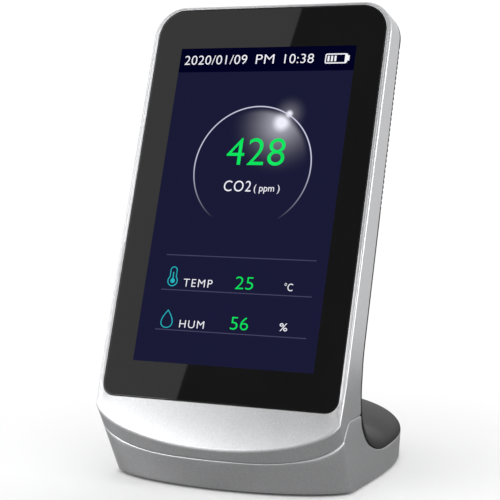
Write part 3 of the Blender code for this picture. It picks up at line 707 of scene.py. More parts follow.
def base_loops():
    """Closed loops round the base shell: its top edge and its bottom edge."""
    across = np.sin(np.linspace(-math.pi / 2, math.pi / 2, 240))
    top = [nose_groove(across, -GROOVE_HALF)]
    bottom = [nose_line(across, np.zeros_like(across))]

    start = top[0][-1]
    y = np.linspace(start[1], rear_edge()[0, 0], 50)
    groove = np.stack([y, groove_height(y) - GROOVE_HALF], -1)
    groove[0] = start[1:]
    saddle = saddle_curve(np.linspace(0, 1, 400))
    saddle = saddle[saddle[:, 1] < GROOVE_HIGH - GROOVE_HALF]
    boundary = np.concatenate([groove[:-1], saddle])
    side = along(boundary, np.linspace(0, 1, 150)[1:])
    low_y = np.linspace(bottom[0][-1][1], SADDLE[3][0], 150)[1:]
    angle = tail_angle(low_y)
    low_x = tail_plan(angle, 0.0)[:, 0]
    ratio = low_x / BOTTOM_HALF
    top_x = (BOTTOM_HALF + SIDE_FLARE * side[:, 1]) * np.interp(side[:, 0], low_y, ratio)
    side_top = np.stack([top_x, side[:, 0], side[:, 1]], -1)
    side_low = np.stack([low_x, low_y, np.zeros_like(low_y)], -1)

    rest = np.linspace(float(tail_angle(np.array([SADDLE[3][0]]))[0]), math.pi / 2, 120)[1:]
    rear_top = tail_plan(rest, RIM)
    rear_low = tail_plan(rest, 0.0)
    right_top = np.concatenate([side_top, rear_top])
    right_low = np.concatenate([side_low, rear_low])
    top += [right_top, mirror_x(right_top)[::-1][1:-1]]
    bottom += [right_low, mirror_x(right_low)[::-1][1:-1]]
    return np.concatenate(top), np.concatenate(bottom)


# Profile of the base shell. Its top edge is rounder on the steps, which lie between two heights.
SHELL_WALL = 1.6
SHELL_FLOOR = 1.9
TOP_ROUND = 0.32
STEP_ROUND = 0.55
STEP_LIP = (9.0, 20.4)
STEP_FADE = 2.5
FOOT_ROUND = 0.35
SHELL_MIDDLE = np.array([0.0, 40.0, 5.0])


def make_base_shell(material):
    """Base shell: a ruled wall between its top and bottom loops, with both lips rounded and turned in.
    The rounding is laid square to the top edge, which is steep on the steps."""
    top, bottom = (soften(loop) for loop in base_loops())
    down = unit(bottom - top)
    tangent = loop_tangent(top)
    fall = unit(down - np.sum(down * tangent, axis=1)[:, None] * tangent)
    inward = turned_in(bottom, down, SHELL_MIDDLE)
    on_step = smooth_step((top[:, 2] - STEP_LIP[0]) / STEP_FADE)
    on_step = on_step * smooth_step((STEP_LIP[1] - top[:, 2]) / STEP_FADE)
    on_step = on_step * smooth_step((40.0 - top[:, 1]) / 10.0)
    lip = (TOP_ROUND + STEP_ROUND * on_step)[:, None]
    rows = [top + inward * SHELL_WALL] + quarter(top, inward, fall, lip, 5)
    wall_top = rows[-1]
    wall = bottom - down * FOOT_ROUND - wall_top
    rows += [wall_top + wall * part for part in np.linspace(0, 1, 12)[1:-1]]
    rows += quarter(bottom, -down, inward, FOOT_ROUND, 5)
    rows.append(bottom + inward * SHELL_FLOOR)
    rows.append(bottom + inward * SHELL_FLOOR - down * SHELL_WALL)
    shell = grid_piece("base_shell_skin", np.stack(rows), material, closed_rows=True,
                       closed_columns=True)
    through = (TAIL_WALL_Y, DEPTH + 6.0)
    carve(shell, [pill_bar(PORT_AT, PORT_HALF + TRIM_GAP, through),
                  pill_bar(BUTTON_AT, BUTTON_HALF + TRIM_GAP, through)])
    return shell


# --- rear cover

RIB_PITCH = 1.54
RIB_S = (84.0, 133.0)
VENT_FIRST = 96.0
VENT_PITCH = 3.08
VENT_COUNT = 12
VENT_HALF = 24.0
VENT_HEIGHT = 1.3
VENT_CUT = (9.9, 20.0)
RIB_DEPTH = 0.16
TOP_BEND = 0.16
COVER_COLUMNS = 81
RIB_END = 0.63


def cover_path():
    """Side view of the cover's edge, from the slab's top over the saddle to the tail's end."""
    top = SIDE_TOP
    part = np.concatenate([TOP_BEND * (1 - np.cos(np.linspace(0, math.pi / 2, 50))),
                           np.linspace(TOP_BEND, RIB_END, 240)[1:], np.linspace(RIB_END, 1, 24)[1:]])
    line = top + (SADDLE[0] - top) * part[:, None]
    bend = saddle_curve(np.linspace(0, 1, 60))[1:]
    reach = DEPTH - SADDLE[3][0]
    turn = np.linspace(0, math.pi / 2, 70)[1:]
    tail = np.stack([SADDLE[3][0] + reach * np.sin(turn), np.full(turn.shape, RIM)], -1)
    return np.concatenate([line, bend, tail])


def cover_surface(across):
    """Crowned surface of the rear cover: the side edge lifted along its own normal by a crown that is
    flat with round edges on the slab and a dome on the tail. across is from -1 to 1."""
    path = cover_path()
    y, z = path.T
    tangent = unit(np.gradient(path, axis=0))
    normal = np.stack([-tangent[:, 1], tangent[:, 0]], 1)
    s = side_s(y, z)
    blend = smooth_step((y - CROWN_BLEND[0]) / CROWN_BLEND[1]) * (z < SADDLE[0][1])
    near_end = np.clip((y - CROWN_FALL) / (DEPTH - CROWN_FALL), 0, 1) * (z < TAIL_BELOW)
    to_top = np.clip((z - CROWN_TOP_FADE) / (SIDE_TOP[1] - CROWN_TOP_FADE), 0, 1)
    crown = SLAB_CROWN + (TAIL_CROWN - SLAB_CROWN) * blend
    crown = crown * np.sqrt(1 - near_end ** 4) * np.sqrt(1 - to_top ** 2)
    power = SLAB_POWER + (TAIL_POWER - SLAB_POWER) * blend
    lift = COVER_GAP + crown[:, None] * np.sqrt(
        np.clip(1 - np.abs(across)[None] ** power[:, None], 0, 1))
    into_corner = np.clip((s - CORNER_S) / SLAB_CORNER, 0, 1)
    slab_half = SLAB_HALF - SLAB_CORNER * (1 - np.sqrt(1 - into_corner ** 2))
    tail_part = np.clip((y - TAIL_START) / (DEPTH - TAIL_START), 0, 1)
    low_half = (BOTTOM_HALF + SIDE_FLARE * z) * (1 - tail_part ** 3) ** 0.4
    half = np.where(z < TAIL_BELOW, low_half, np.minimum(slab_half, side_half(z)))
    x = half[:, None] * across
    points = np.stack([x, y[:, None] + lift * normal[:, :1], z[:, None] + lift * normal[:, 1:]], -1)
    return points, s


def vent_bar(low):
    """Cutter for one vent: a slot with round ends, run through the cover's wall into the slab."""
    outline = pill_outline(np.array([VENT_HALF, VENT_HEIGHT / 2]), 8)
    rows = [slab(outline[:, 0], low + VENT_HEIGHT / 2 + outline[:, 1], depth) for depth in VENT_CUT]
    return capped(np.stack(rows))


def make_rear_cover(material):
    """Rear cover with ribs over the upper slab: fine grooves across its whole width."""
    across = np.sin(np.linspace(-math.pi / 2, math.pi / 2, COVER_COLUMNS))
    points, s = cover_surface(across)
    du = np.gradient(points, axis=0)
    dv = np.gradient(points, axis=1)
    normal = unit(np.cross(dv, du))
    if normal[len(s) // 3, COVER_COLUMNS // 2, 1] < 0:
        normal = -normal
    phase = (s - VENT_FIRST - VENT_HEIGHT / 2) / RIB_PITCH
    fade = smooth_step(s - RIB_S[0]) * smooth_step(RIB_S[1] - s)
    rib = -RIB_DEPTH * fade * np.clip(np.cos(2 * math.pi * phase) * 1.6, 0, 1)
    points = points + normal * rib[:, None, None]
    cover = grid_piece("rear_cover_skin", points, material, weld=0.001)
    wall = cover.modifiers.new("wall", "SOLIDIFY")
    wall.thickness = SHELL_WALL * MM
    wall.offset = -1.0
    carve(cover, [vent_bar(VENT_FIRST + VENT_PITCH * row) for row in range(VENT_COUNT)],
          solver="MANIFOLD")
    return cover


# --- glass and screen

def rounded_outline(low, high, low_radius, high_radius, steps=24):
    """Closed outline (x, s) of a rectangle between two corners, with its own corner radius at the
    foot and at the top."""
    low, high = np.array(low), np.array(high)
    parts = []
    for corner, radius, start in (((1, 1), high_radius, 0), ((0, 1), high_radius, 90),
                                  ((0, 0), low_radius, 180), ((1, 0), low_radius, 270)):
        centre = low + radius + np.array(corner) * (high - low - 2 * radius)
        angle = np.radians(start + np.linspace(0, 90, steps))
        parts.append(centre + radius * np.stack([np.cos(angle), np.sin(angle)], -1))
    return np.concatenate(parts)


def plate_points(outline, inner, n_front, n_back, edge):
    """Rows of a flat plate: from an inner loop on the front, over a rounded edge, to the back."""
    centre = (outline.max(axis=0) + outline.min(axis=0)) / 2
    tangent = loop_tangent(outline)
    outward = np.stack([tangent[:, 1], -tangent[:, 0]], -1)
    outward *= np.sign(np.sum(outward * (outline - centre), axis=1))[:, None]
    flat_end = outline - outward * (edge + 0.1)
    rows = [slab(inner[:, 0], inner[:, 1], n_front), slab(flat_end[:, 0], flat_end[:, 1], n_front)]
    for angle in np.linspace(0, math.pi / 2, 6):
        ring = outline - outward * edge * (1 - math.sin(angle))
        rows.append(slab(ring[:, 0], ring[:, 1], n_front + edge * (1 - math.cos(angle))))
    rows.append(slab(outline[:, 0], outline[:, 1], n_back))
    rows.append(slab(inner[:, 0], inner[:, 1], n_back))
    return np.stack(rows)


def make_glass(material):
    """Cover glass: a polished plate with a ground edge, open where the lit display shows."""
    outline = rounded_outline((-GLASS_HALF, GLASS_S[0]), (GLASS_HALF, GLASS_S[1]), GLASS_LOW_RADIUS,
                              GLASS_TOP_RADIUS)
    inner = rounded_outline((-SCREEN_HALF, SCREEN_S[0]), (SCREEN_HALF, SCREEN_S[1]), SCREEN_CORNER,
                            SCREEN_CORNER)
    rows = plate_points(outline, inner, GLASS_N[0], GLASS_N[1], GLASS_EDGE)
    return grid_piece("glass_border", rows, material, closed_rows=True, closed_columns=True)


# Measures of the picture on the display: x across and s up the slab, in millimetres.
HEADER_S = 122.95
RING_CENTRE = (0.6, 93.8)
RING_RADIUS = 18.35
GLOW_AT = (8.0, 107.2)
SPARK_AT = (10.1, 109.9)
DOT_PITCH = 0.36
PICTURE_N = 0.12
PICTURE_BACK = 0.9
GAP_FIT = 0.01
INK = 0.02


def screen_place(tree, where):
    """The display's own millimetres: x across and s up the slab, from Object coordinates."""
    start = place(ORIGIN)
    rise = start[1] * math.sin(LEAN) + start[2] * math.cos(LEAN)
    out = start[2] * math.sin(LEAN) - start[1] * math.cos(LEAN)
    turned = add(tree, "ShaderNodeMapping", {"Vector": where}, vector_type="POINT",
                 Rotation=(LEAN - math.pi / 2, 0.0, 0.0), Scale=(1 / MM, 1 / MM, 1 / MM),
                 Location=(0.0, -rise / MM, -out / MM))
    return turned.outputs["Vector"]


def ranged(tree, source, low, high, to_low=0.0, to_high=1.0, kind="SMOOTHSTEP"):
    """source from low..high to to_low..to_high, held at the ends."""
    return add(tree, "ShaderNodeMapRange", {"Value": source}, interpolation_type=kind, From_Min=low,
               From_Max=high, To_Min=to_low, To_Max=to_high).outputs["Result"]


def math_of(tree, operation, first, second):
    """One arithmetic step on two sockets or numbers."""
    item = add(tree, "ShaderNodeMath", operation=operation)
    for socket, value in zip(item.inputs, (first, second)):
        if isinstance(value, (int, float)):
            socket.default_value = value
        else:
            tree.links.new(value, socket)
    return item.outputs[0]


def mix_colour(tree, part, first, second):
    """Colour blend from first to second by part; each is a hex colour or a socket."""
    item = add(tree, "ShaderNodeMix", data_type="RGBA")
    tree.links.new(part, item.inputs[0])
    for socket, value in zip((item.inputs[6], item.inputs[7]), (first, second)):
        if isinstance(value, str):
            socket.default_value = linear(value)
        else:
            tree.links.new(value, socket)
    return item.outputs[2]


def distance_to(tree, where, point):
    """Distance on the display to a point (x, s)."""
    flat = add(tree, "ShaderNodeVectorMath", {0: where}, operation="MULTIPLY")
    flat.inputs[1].default_value = (1.0, 1.0, 0.0)
    item = add(tree, "ShaderNodeVectorMath", {0: flat.outputs[0]}, operation="DISTANCE")
    item.inputs[1].default_value = (*point, 0.0)
    return item.outputs["Value"]


def lit_material(name):
    """A shader that only shines: the anti-reflective display gives off its own light."""
    material, tree, shader, where = new_material(name, IOR=1.5, Roughness=0.3,
                                                 Specular_IOR_Level=0.0, Emission_Strength=1.0)
    shader.inputs["Base Color"].default_value = linear("020204")
    return material, tree, shader, where


def dot_grid(tree, spot):
    """Darker seams between the display's picture elements, drawn coarse enough to be seen close up."""
    parts = add(tree, "ShaderNodeSeparateXYZ", {"Vector": spot})
    seams = []
    for axis in ("X", "Y"):
        wave = add(tree, "ShaderNodeMath", {0: parts.outputs[axis]}, operation="PINGPONG")
        wave.inputs[1].default_value = DOT_PITCH / 2
        seams.append(ranged(tree, wave.outputs[0], 0.0, DOT_PITCH * 0.12, 0.93, 1.0))
    return math_of(tree, "MULTIPLY", seams[0], seams[1])


def shine(tree, shader, colour, spot):
    """Colour to the emission, dimmed along the seams of the dot grid."""
    scaled = add(tree, "ShaderNodeVectorMath", {0: colour, "Scale": dot_grid(tree, spot)},
                 operation="SCALE")
    tree.links.new(scaled.outputs[0], shader.inputs["Emission Color"])


def screen_material():
    """Display picture: dark blue field, a darker header bar, and a ring gauge with a soft glow."""
    material, tree, shader, where = lit_material("backlit_lcd_picture")
    spot = screen_place(tree, where)
    height = add(tree, "ShaderNodeSeparateXYZ", {"Vector": spot}).outputs["Y"]
    mottle = grain(tree, where, 12.0)
    field = ramp(tree, mottle, 0.3, 0.7, ("191a35", "1a1a38"))
    header = ranged(tree, height, HEADER_S - 0.1, HEADER_S + 0.1)
    colour = mix_colour(tree, header, field, "000020")
    radius = distance_to(tree, spot, RING_CENTRE)
    inside = ranged(tree, radius, RING_RADIUS - 2.4, RING_RADIUS - 0.2, 1.0, 0.0)
    glow_distance = distance_to(tree, spot, GLOW_AT)
    halo = math_of(tree, "POWER", ranged(tree, glow_distance, 17.0, 0.0, kind="LINEAR"), 2.6)
    core = ranged(tree, glow_distance, 3.6, 0.2)
    inner = math_of(tree, "MULTIPLY", inside, math_of(tree, "MULTIPLY", halo, 0.62))
    spark_distance = distance_to(tree, spot, SPARK_AT)
    spark = ranged(tree, spark_distance, 1.5, 0.1)
    outer = math_of(tree, "MULTIPLY", math_of(tree, "POWER", ranged(
        tree, spark_distance, 6.0, 0.0, kind="LINEAR"), 2.0), 0.22)
    light = math_of(tree, "ADD", math_of(tree, "ADD", inner, outer),
                    math_of(tree, "ADD", math_of(tree, "MULTIPLY", core, 0.6), spark))
    light = math_of(tree, "MINIMUM", light, 1.0)
    colour = mix_colour(tree, light, colour, "f2f2ff")
    offset = add(tree, "ShaderNodeMath", {0: math_of(tree, "SUBTRACT", radius, RING_RADIUS)},
                 operation="ABSOLUTE").outputs[0]
    line = ranged(tree, offset, 0.04, 0.28, 1.0, 0.0)
    fade = ranged(tree, height, 78.5, 96.0, kind="LINEAR")
    ring = math_of(tree, "MULTIPLY", line, math_of(tree, "MULTIPLY", fade, 0.95))
    colour = mix_colour(tree, ring, colour, "dcdcf4")
    shine(tree, shader, colour, spot)
    return material


def ink_material(name, colours):
    """Lit picture elements of one colour, slightly uneven over the display."""
    material, tree, shader, where = lit_material(name)
    shine(tree, shader, ramp(tree, grain(tree, where, 3.0), 0.3, 0.7, colours),
          screen_place(tree, where))
    return material


def make_screen(material):
    """Display picture: a thin plate that fills the opening of the printed glass."""
    outline = rounded_outline((GAP_FIT - SCREEN_HALF, SCREEN_S[0] + GAP_FIT),
                              (SCREEN_HALF - GAP_FIT, SCREEN_S[1] - GAP_FIT), SCREEN_CORNER,
                              SCREEN_CORNER)
    middle = outline * 0 + [[0.0, sum(SCREEN_S) / 2]]
    rows = [slab(loop[:, 0], loop[:, 1], n) for loop, n in (
        (middle, PICTURE_BACK), (outline, PICTURE_BACK), (outline, PICTURE_N), (middle, PICTURE_N))]
    return grid_piece("display_picture", np.stack(rows), material, closed_columns=True, weld=0.0005)


def lettering(words, x_span, s_span, weight=0.0, spacing=1.0):
    """Solid letters fitted to a box on the display, as vertices in metres and triangles."""
    data = bpy.data.curves.new("lettering", "FONT")
    data.body = words
    data.offset = weight
    data.space_character = spacing
    data.extrude = 0.01
    item = placed("lettering", data)
    mesh = evaluated_mesh(item)
    bm = bmesh.new()
    bm.from_mesh(mesh)
    bmesh.ops.remove_doubles(bm, verts=bm.verts, dist=1e-5)
    bmesh.ops.triangulate(bm, faces=bm.faces)
    points = np.array([v.co[:] for v in bm.verts])
    faces = np.array([[v.index for v in f.verts] for f in bm.faces])
    bm.free()
    bpy.data.objects.remove(item)
    bpy.data.curves.remove(data)
    bpy.data.meshes.remove(mesh)
    low, high = points.min(axis=0), points.max(axis=0)
    part = (points - low) / (high - low)
    x = x_span[0] + (x_span[1] - x_span[0]) * part[:, 0]
    s = s_span[0] + (s_span[1] - s_span[0]) * part[:, 1]
    return place(slab(x, s, PICTURE_N - INK * part[:, 2])), faces


def ribbon(path, width, closed=True):
    """A thin flat line of the given width along a path (x, s) on the display."""
    tangent = loop_tangent(path) if closed else unit(np.gradient(path, axis=0))
    side = np.stack([-tangent[:, 1], tangent[:, 0]], -1) * width / 2
    rows = []
    for offset, n in ((side, PICTURE_N), (side, PICTURE_N - INK), (-side, PICTURE_N - INK),
                      (-side, PICTURE_N)):
        edge = path + offset
        rows.append(slab(edge[:, 0], edge[:, 1], n))
    points = np.stack(rows)
    count = len(path)
    faces = grid_faces(4, count, True, closed)
    if not closed:
        caps = np.array([[0, count, 2 * count, 3 * count],
                         [count - 1, 4 * count - 1, 3 * count - 1, 2 * count - 1]])
        faces = np.concatenate([faces, caps])
    triangles = np.concatenate([faces[:, [0, 1, 2]], faces[:, [0, 2, 3]]])
    return place(points).reshape(-1, 3), triangles


def disc(centre, radius, steps=24):
    """A filled dot: a ribbon as wide as its own radius, closed on itself."""
    angle = np.linspace(0, 2 * math.pi, steps, endpoint=False)
    path = np.array(centre) + radius / 2 * np.stack([np.cos(angle), np.sin(angle)], -1)
    return ribbon(path, radius * 0.98)


def joined(name, parts, material):
    """One mesh from several (vertices, triangles)."""
    starts = np.cumsum([0] + [len(v) for v, f in parts])[:-1]
    vertices = np.concatenate([v for v, f in parts])
    faces = np.concatenate([f + start for (v, f), start in zip(parts, starts)])
    return mesh_piece(name, vertices, faces, material, smooth=False)


def bar(x0, x1, s0, s1):
    """A filled upright bar as one wide ribbon."""
    middle = (x0 + x1) / 2
    return ribbon(np.array([[middle, s0], [middle, s1]]), x1 - x0, closed=False)


def thermometer(centre_x, low, high):
    """Outline of a thermometer: a bulb below and a round-topped stem, with the liquid inside."""
    bulb, stem = 1.5, 1.0
    bulb_s = low + bulb
    opening = math.asin(stem / bulb)
    turn = np.linspace(math.pi / 2 + opening, math.pi / 2 - opening + 2 * math.pi, 40)
    round_bulb = np.stack([centre_x + bulb * np.cos(turn), bulb_s + bulb * np.sin(turn)], -1)
    cap = np.linspace(0, math.pi, 16)
    round_top = np.stack([centre_x + stem * np.cos(cap), high - stem + stem * np.sin(cap)], -1)
    outline = np.concatenate([round_bulb, round_top])
    return [ribbon(outline, 0.28), disc((centre_x, bulb_s), 0.72),
            bar(centre_x - 0.17, centre_x + 0.17, bulb_s, high - 1.5 * stem)]


def water_drop(centre_x, low, high):
    """Outline of a drop: a circle below drawn out to a point above."""
    turn = np.linspace(0, 2 * math.pi, 60, endpoint=False)
    half = 2.4
    rise = (high - low) / 2
    x = centre_x + half * np.sin(turn) * np.sin(turn / 2) ** 1.15
    s = low + rise + rise * np.cos(turn)
    return [ribbon(np.stack([x, s], -1), 0.28)]


def header_parts():
    """Date, time and a battery gauge along the header bar."""
    s_span = (125.35, 128.2)
    parts = [lettering("2020/01/09", (-26.4, -5.9), s_span, -0.006, 1.05),
             lettering("PM", (-3.0, 2.8), s_span, -0.008, 1.05),
             lettering("10:38", (6.1, 15.3), s_span, -0.006, 1.05)]
    parts.append(ribbon(rounded_outline((19.0, 125.25), (25.4, 127.95), 0.35, 0.35, 6), 0.36))
    parts.append(bar(24.9, 25.7, 125.4, 128.0))
    parts.append(bar(25.6, 26.3, 125.9, 127.5))
    for step in range(3):
        left = 19.6 + 1.05 * step
        parts.append(bar(left, left + 0.6, 125.75, 127.45))
    return parts


def label_parts():
    """The plain words and units beside the readings."""
    return [lettering("CO2", (-7.3, 1.3), (86.4, 89.6), -0.004, 1.12),
            lettering("( ppm )", (2.3, 10.3), (85.9, 88.6), 0.0),
            lettering("TEMP", (-15.6, -6.4), (57.75, 60.0), -0.008, 1.18),
            lettering("HUM", (-14.9, -7.1), (45.75, 47.95), -0.008, 1.15),
            lettering("\u00b0C", (15.9, 18.5), (57.95, 60.2), -0.004),
            lettering("%", (16.1, 18.5), (46.55, 48.8), 0.004)]


def reading_parts():
    """The green readings."""
    return [lettering("428", (-7.9, 10.4), (94.3, 102.5), -0.006, 1.03),
            lettering("25", (0.8, 6.35), (57.75, 61.4), -0.010),
            lettering("56", (1.05, 6.55), (46.1, 49.75), -0.010)]


def divider_parts():
    """Three thin rules under and over the readings."""
    return [ribbon(np.array([[-22.4, s], [24.5, s]]), 0.26, closed=False) for s in (66.9, 56.6, 44.9)]


# --- small parts

def lathe(centre, profile, steps=64):
    """Grid of a profile (radius, height) turned about an upright axis at (x, y)."""
    turn = np.linspace(0, 2 * math.pi, steps, endpoint=False)
    radius, height = np.array(profile, float).T
    x = centre[0] + radius[:, None] * np.cos(turn)
    y = centre[1] + radius[:, None] * np.sin(turn)
    return np.stack([x, y, np.broadcast_to(height[:, None], x.shape)], -1)


def round_part(node):
    """Middle (x, y) of a round upright node, its radius, and its lowest and highest level."""
    low, high = node_box(node)
    middle = (low + high) / 2
    return ((middle[0], middle[1] - CHIN_FRONT), (high[0] - low[0]) / 2, low[2] - FOOT_LIFT,
            high[2] - FOOT_LIFT)


def make_foot(node, material):
    """Round rubber foot: flat sole with three shallow rings, rolled edge and a straight neck."""
    centre, radius, low, high = round_part(node)
    roll = 0.35
    reach = np.linspace(0, radius - roll, 60)
    sole = low + 0.07 * np.clip(np.cos(2 * math.pi * reach / 1.1) * 2 - 1, 0, 1) * (reach > 0.8)
    profile = list(zip(reach, sole))
    turn = np.linspace(-math.pi / 2, 0, 8)[1:]
    profile += list(zip(radius - roll + roll * np.cos(turn), low + roll + roll * np.sin(turn)))
    profile += [(radius, high - 0.1), (radius - 0.1, high), (0.0, high)]
    return grid_piece(node + "_pad", lathe(centre, profile), material, closed_columns=True,
                      weld=0.0005)


def pill_piece(name, centre, rows, material):
    """Closed body of pill-shaped rows (half size, y) about a point (x, z) of the tail's rear wall."""
    return mesh_piece(name, *capped(pill_rows(centre, rows)), material)


def make_button(material):
    """Power button: a pill with a rolled edge and a slightly hollowed face, on its flange."""
    out = KEY_HIGH[1] - CHIN_FRONT
    inner = KEY_LOW[1] - CHIN_FRONT
    roll = 0.45
    flange = np.array([4.2, 1.5])
    rows = [(flange * 0.98, inner), (flange, inner + 0.05), (flange, inner + 0.55),
            (BUTTON_HALF, inner + 0.6)]
    rows.append((BUTTON_HALF, out - roll))
    for angle in np.linspace(0, math.pi / 2, 8)[1:]:
        rows.append((BUTTON_HALF - roll * (1 - math.cos(angle)), out - roll + roll * math.sin(angle)))
    for part in (0.8, 0.55, 0.25):
        rows.append(((BUTTON_HALF - roll) * part, out - 0.18 * math.cos(part * math.pi / 2)))
    return pill_piece("power_button_cap", BUTTON_AT, rows, material)


def make_inlet(material):
    """Power inlet: a drawn metal shell with a rolled lip, open to the rear, closed inside."""
    out = PORT_HIGH[1] - CHIN_FRONT
    inner = PORT_LOW[1] - CHIN_FRONT
    metal = 0.3
    rows = [(PORT_HALF - 0.1, inner), (PORT_HALF, inner + 0.1)]
    lip = metal / 2
    for angle in np.linspace(0, math.pi, 9):
        rows.append((PORT_HALF - lip * (1 - math.cos(angle)), out - lip + lip * math.sin(angle)))
    rows += [(PORT_HALF - metal, inner + 1.2), ((PORT_HALF - metal) * 0.5, inner + 1.15)]
    return pill_piece("power_inlet_shell", PORT_AT, rows, material)


def make_inlet_tongue(material):
    """Contact tongue inside the inlet: a thin blade with a chamfered nose."""
    inner = PORT_LOW[1] - CHIN_FRONT + 1.25
    out = PORT_HIGH[1] - CHIN_FRONT - 1.2
    half = np.array([3.2, 0.32])
    rows = [(half, inner), (half, out - 0.3), (half - 0.08, out - 0.1), (half - 0.2, out)]
    return pill_piece("power_inlet_tongue", PORT_AT, rows, material)


def make_contacts(material):
    """Twelve gold contacts on each side of the tongue."""
    parts = []
    inner = PORT_LOW[1] - CHIN_FRONT + 1.3
    out = PORT_HIGH[1] - CHIN_FRONT - 1.7
    for side in (-1, 1):
        for number in range(12):
            x = PORT_AT[0] + (number - 5.5) * 0.5
            z = PORT_AT[1] + side * 0.34
            parts.append(capped(pill_rows((x, z), [(np.array([0.13, 0.04]), inner),
                                                   (np.array([0.13, 0.04]), out)])))
    return joined("power_inlet_contacts", parts, material)


def make_screw(node, material):
    """Countersunk-look pan head with a cross recess: the head is a dome whose middle is pressed in
    along two crossing grooves, on a plain shank."""
    centre, radius, low, high = round_part(node)
    reach = np.linspace(0, radius, 26)
    turn = np.linspace(0, 2 * math.pi, 96, endpoint=False)
    x = reach[:, None] * np.cos(turn)
    y = reach[:, None] * np.sin(turn)
    dome = 0.22 * (reach[:, None] / radius) ** 3
    near_arm = np.minimum(np.abs(x), np.abs(y))
    recess = smooth_step((0.34 - near_arm) / 0.14) * smooth_step((radius * 0.62 - reach[:, None]) / 0.2)
    face = low + dome + 0.45 * recess
    head = np.stack([centre[0] + x, centre[1] + y, face], -1)
    rest = lathe(centre, [(radius, low + 0.8), (radius - 0.05, low + 0.85), (1.0, low + 0.85),
                          (1.0, high - 0.3), (0.7, high), (0.0, high)], 96)
    return grid_piece(node + "_head", np.concatenate([head, rest]), material, closed_columns=True,
                      weld=0.0005)


# --- assembly

def add_piece(piece, slot_name, *nodes, body=BODY):
    """Gives a piece its body and hides the CAD nodes that it stands in for. slot_name is not used."""
    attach(piece, body)
    if nodes:
        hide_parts(*nodes)
    return piece


silver = silver_paint()
charcoal = dark_cover()
glass = black_glass()
add_piece(make_front_housing(silver), "silver", "front_housing")
add_piece(make_base_shell(silver), "silver", "base_shell")
add_piece(make_rear_cover(charcoal), "black_plastic", "rear_cover")
add_piece(make_glass(glass), "cover_glass", "cover_glass")
add_piece(make_screen(screen_material()), "screen")
white_ink = ink_material("lit_white_readout", ("f0f0fc", "fcfcff"))
green_ink = ink_material("lit_green_readout", ("06df58", "12ee66"))
teal_ink = ink_material("lit_teal_icon", ("1fa8b4", "2cc0cc"))
rule_ink = ink_material("lit_grey_rule", ("44425f", "4a4866"))
add_piece(joined("display_header", header_parts(), white_ink), "screen")
add_piece(joined("display_labels", label_parts(), white_ink), "screen")
add_piece(joined("display_readings", reading_parts(), green_ink), "screen")
add_piece(joined("display_icons", thermometer(-19.2, 57.75, 63.35) + water_drop(-19.1, 45.5, 50.6),
                 teal_ink), "screen")
add_piece(joined("display_rules", divider_parts(), rule_ink), "screen")


pads = rubber()
zinc = metal("zinc_plated_screw_steel", ("a2a4a6", "bcbec0"), (0.22, 0.34))
for name in sorted(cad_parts):
    if name.startswith("foot_"):
        add_piece(make_foot(name, pads), "rubber", name)
    elif name.startswith("base_screw_"):
        add_piece(make_screw(name, zinc), "steel", name)
key_black = matt_plastic("black_satin_abs", ("1c1c1d", "272728"), 0.3, (0.35, 0.45))
add_piece(make_button(key_black), "black_plastic", "power_button", body="button")
nickel = metal("nickel_plated_shell", ("8e8f90", "a8a9aa"), (0.2, 0.3), (1.0, 0.15, 1.0))
add_piece(make_inlet(nickel), "steel", "power_inlet")
tongue_black = matt_plastic("black_glass_filled_nylon", ("101011", "1a1a1b"), 0.2, (0.5, 0.6))
add_piece(make_inlet_tongue(tongue_black), "chip")
add_piece(make_contacts(metal("hard_gold_contact", ("c79a45", "dcb262"), (0.15, 0.25))), "gold")
for name, finish in inner_finishes().items():
    for material_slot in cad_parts[name].material_slots:
        material_slot.material = finish


# --- camera, floor and light

LENS = 110.85
SENSOR_WIDTH = 36.0
CAMERA_AT = [186.4, -374.6, 103.0]
CAMERA_DROP = 4.961
CAMERA_TURN = 24.885


def add_camera():
    """Camera on the viewer's right, a little above, with a long lens."""
    data = bpy.data.cameras.new("camera")
    data.lens = LENS
    data.sensor_width = SENSOR_WIDTH
    item = placed("camera", data)
    item.location = place(CAMERA_AT)
    item.rotation_euler = (math.radians(90 - CAMERA_DROP), 0.0, math.radians(CAMERA_TURN))
    bpy.context.scene.camera = item


def add_floor():
    """A pale floor, flat and wide."""
    bm = bmesh.new()
    bmesh.ops.create_grid(bm, x_segments=1, y_segments=1, size=8.0)
    mesh = bpy.data.meshes.new("floor")
    bm.to_mesh(mesh)
    bm.free()
    material, tree, shader, where = new_material("pale_matt_paper", Roughness=0.95)
    shader.inputs["Base Color"].default_value = linear("fafafa")
    mesh.materials.append(material)
    floor = placed("floor", mesh)
    floor.visible_glossy = False


# The tent's levels against height, what diffuse light sees, and the cards: CARD_DISTANCE is in metres
# from the front plane, corners are (x, s).
TENT_LOW = (-0.5, -0.12)
TENT_LEVELS = (0.2, 0.86)
TENT_DIFFUSE = 1.08
CARD_DISTANCE = 0.2
MIRROR_N = 0.12
FLAG_CORNERS = ((-15.8, 6.0), (75.0, 6.0), (75.0, 175.0), (15.4, 175.0))
CHIN_CORNERS = ((-110.0, -25.0), (8.0, -25.0), (12.0, 21.0), (-110.0, 21.0))
LEFT_CORNERS = ((-110.0, 21.0), (-37.4, 21.0), (-37.4, 175.0), (-110.0, 175.0))
# Upright cards: start and end (x, y), lowest and highest level, all in metres, and radiance.
UPRIGHT_CARDS = {
    "edge_strip": ((0.50, -0.32), (0.62, -0.10), 0.02, 0.50, 6.5),
    "nose_flag": ((-0.26, -0.34), (-0.06, -0.42), -0.30, 0.0, 0.03),
    "corner_card": ((0.20, -0.48), (0.48, -0.26), -0.30, 0.0, 2.1),
    "low_left_card": ((-0.50, -0.34), (-0.56, 0.0), -0.30, 0.0, 1.2),
}


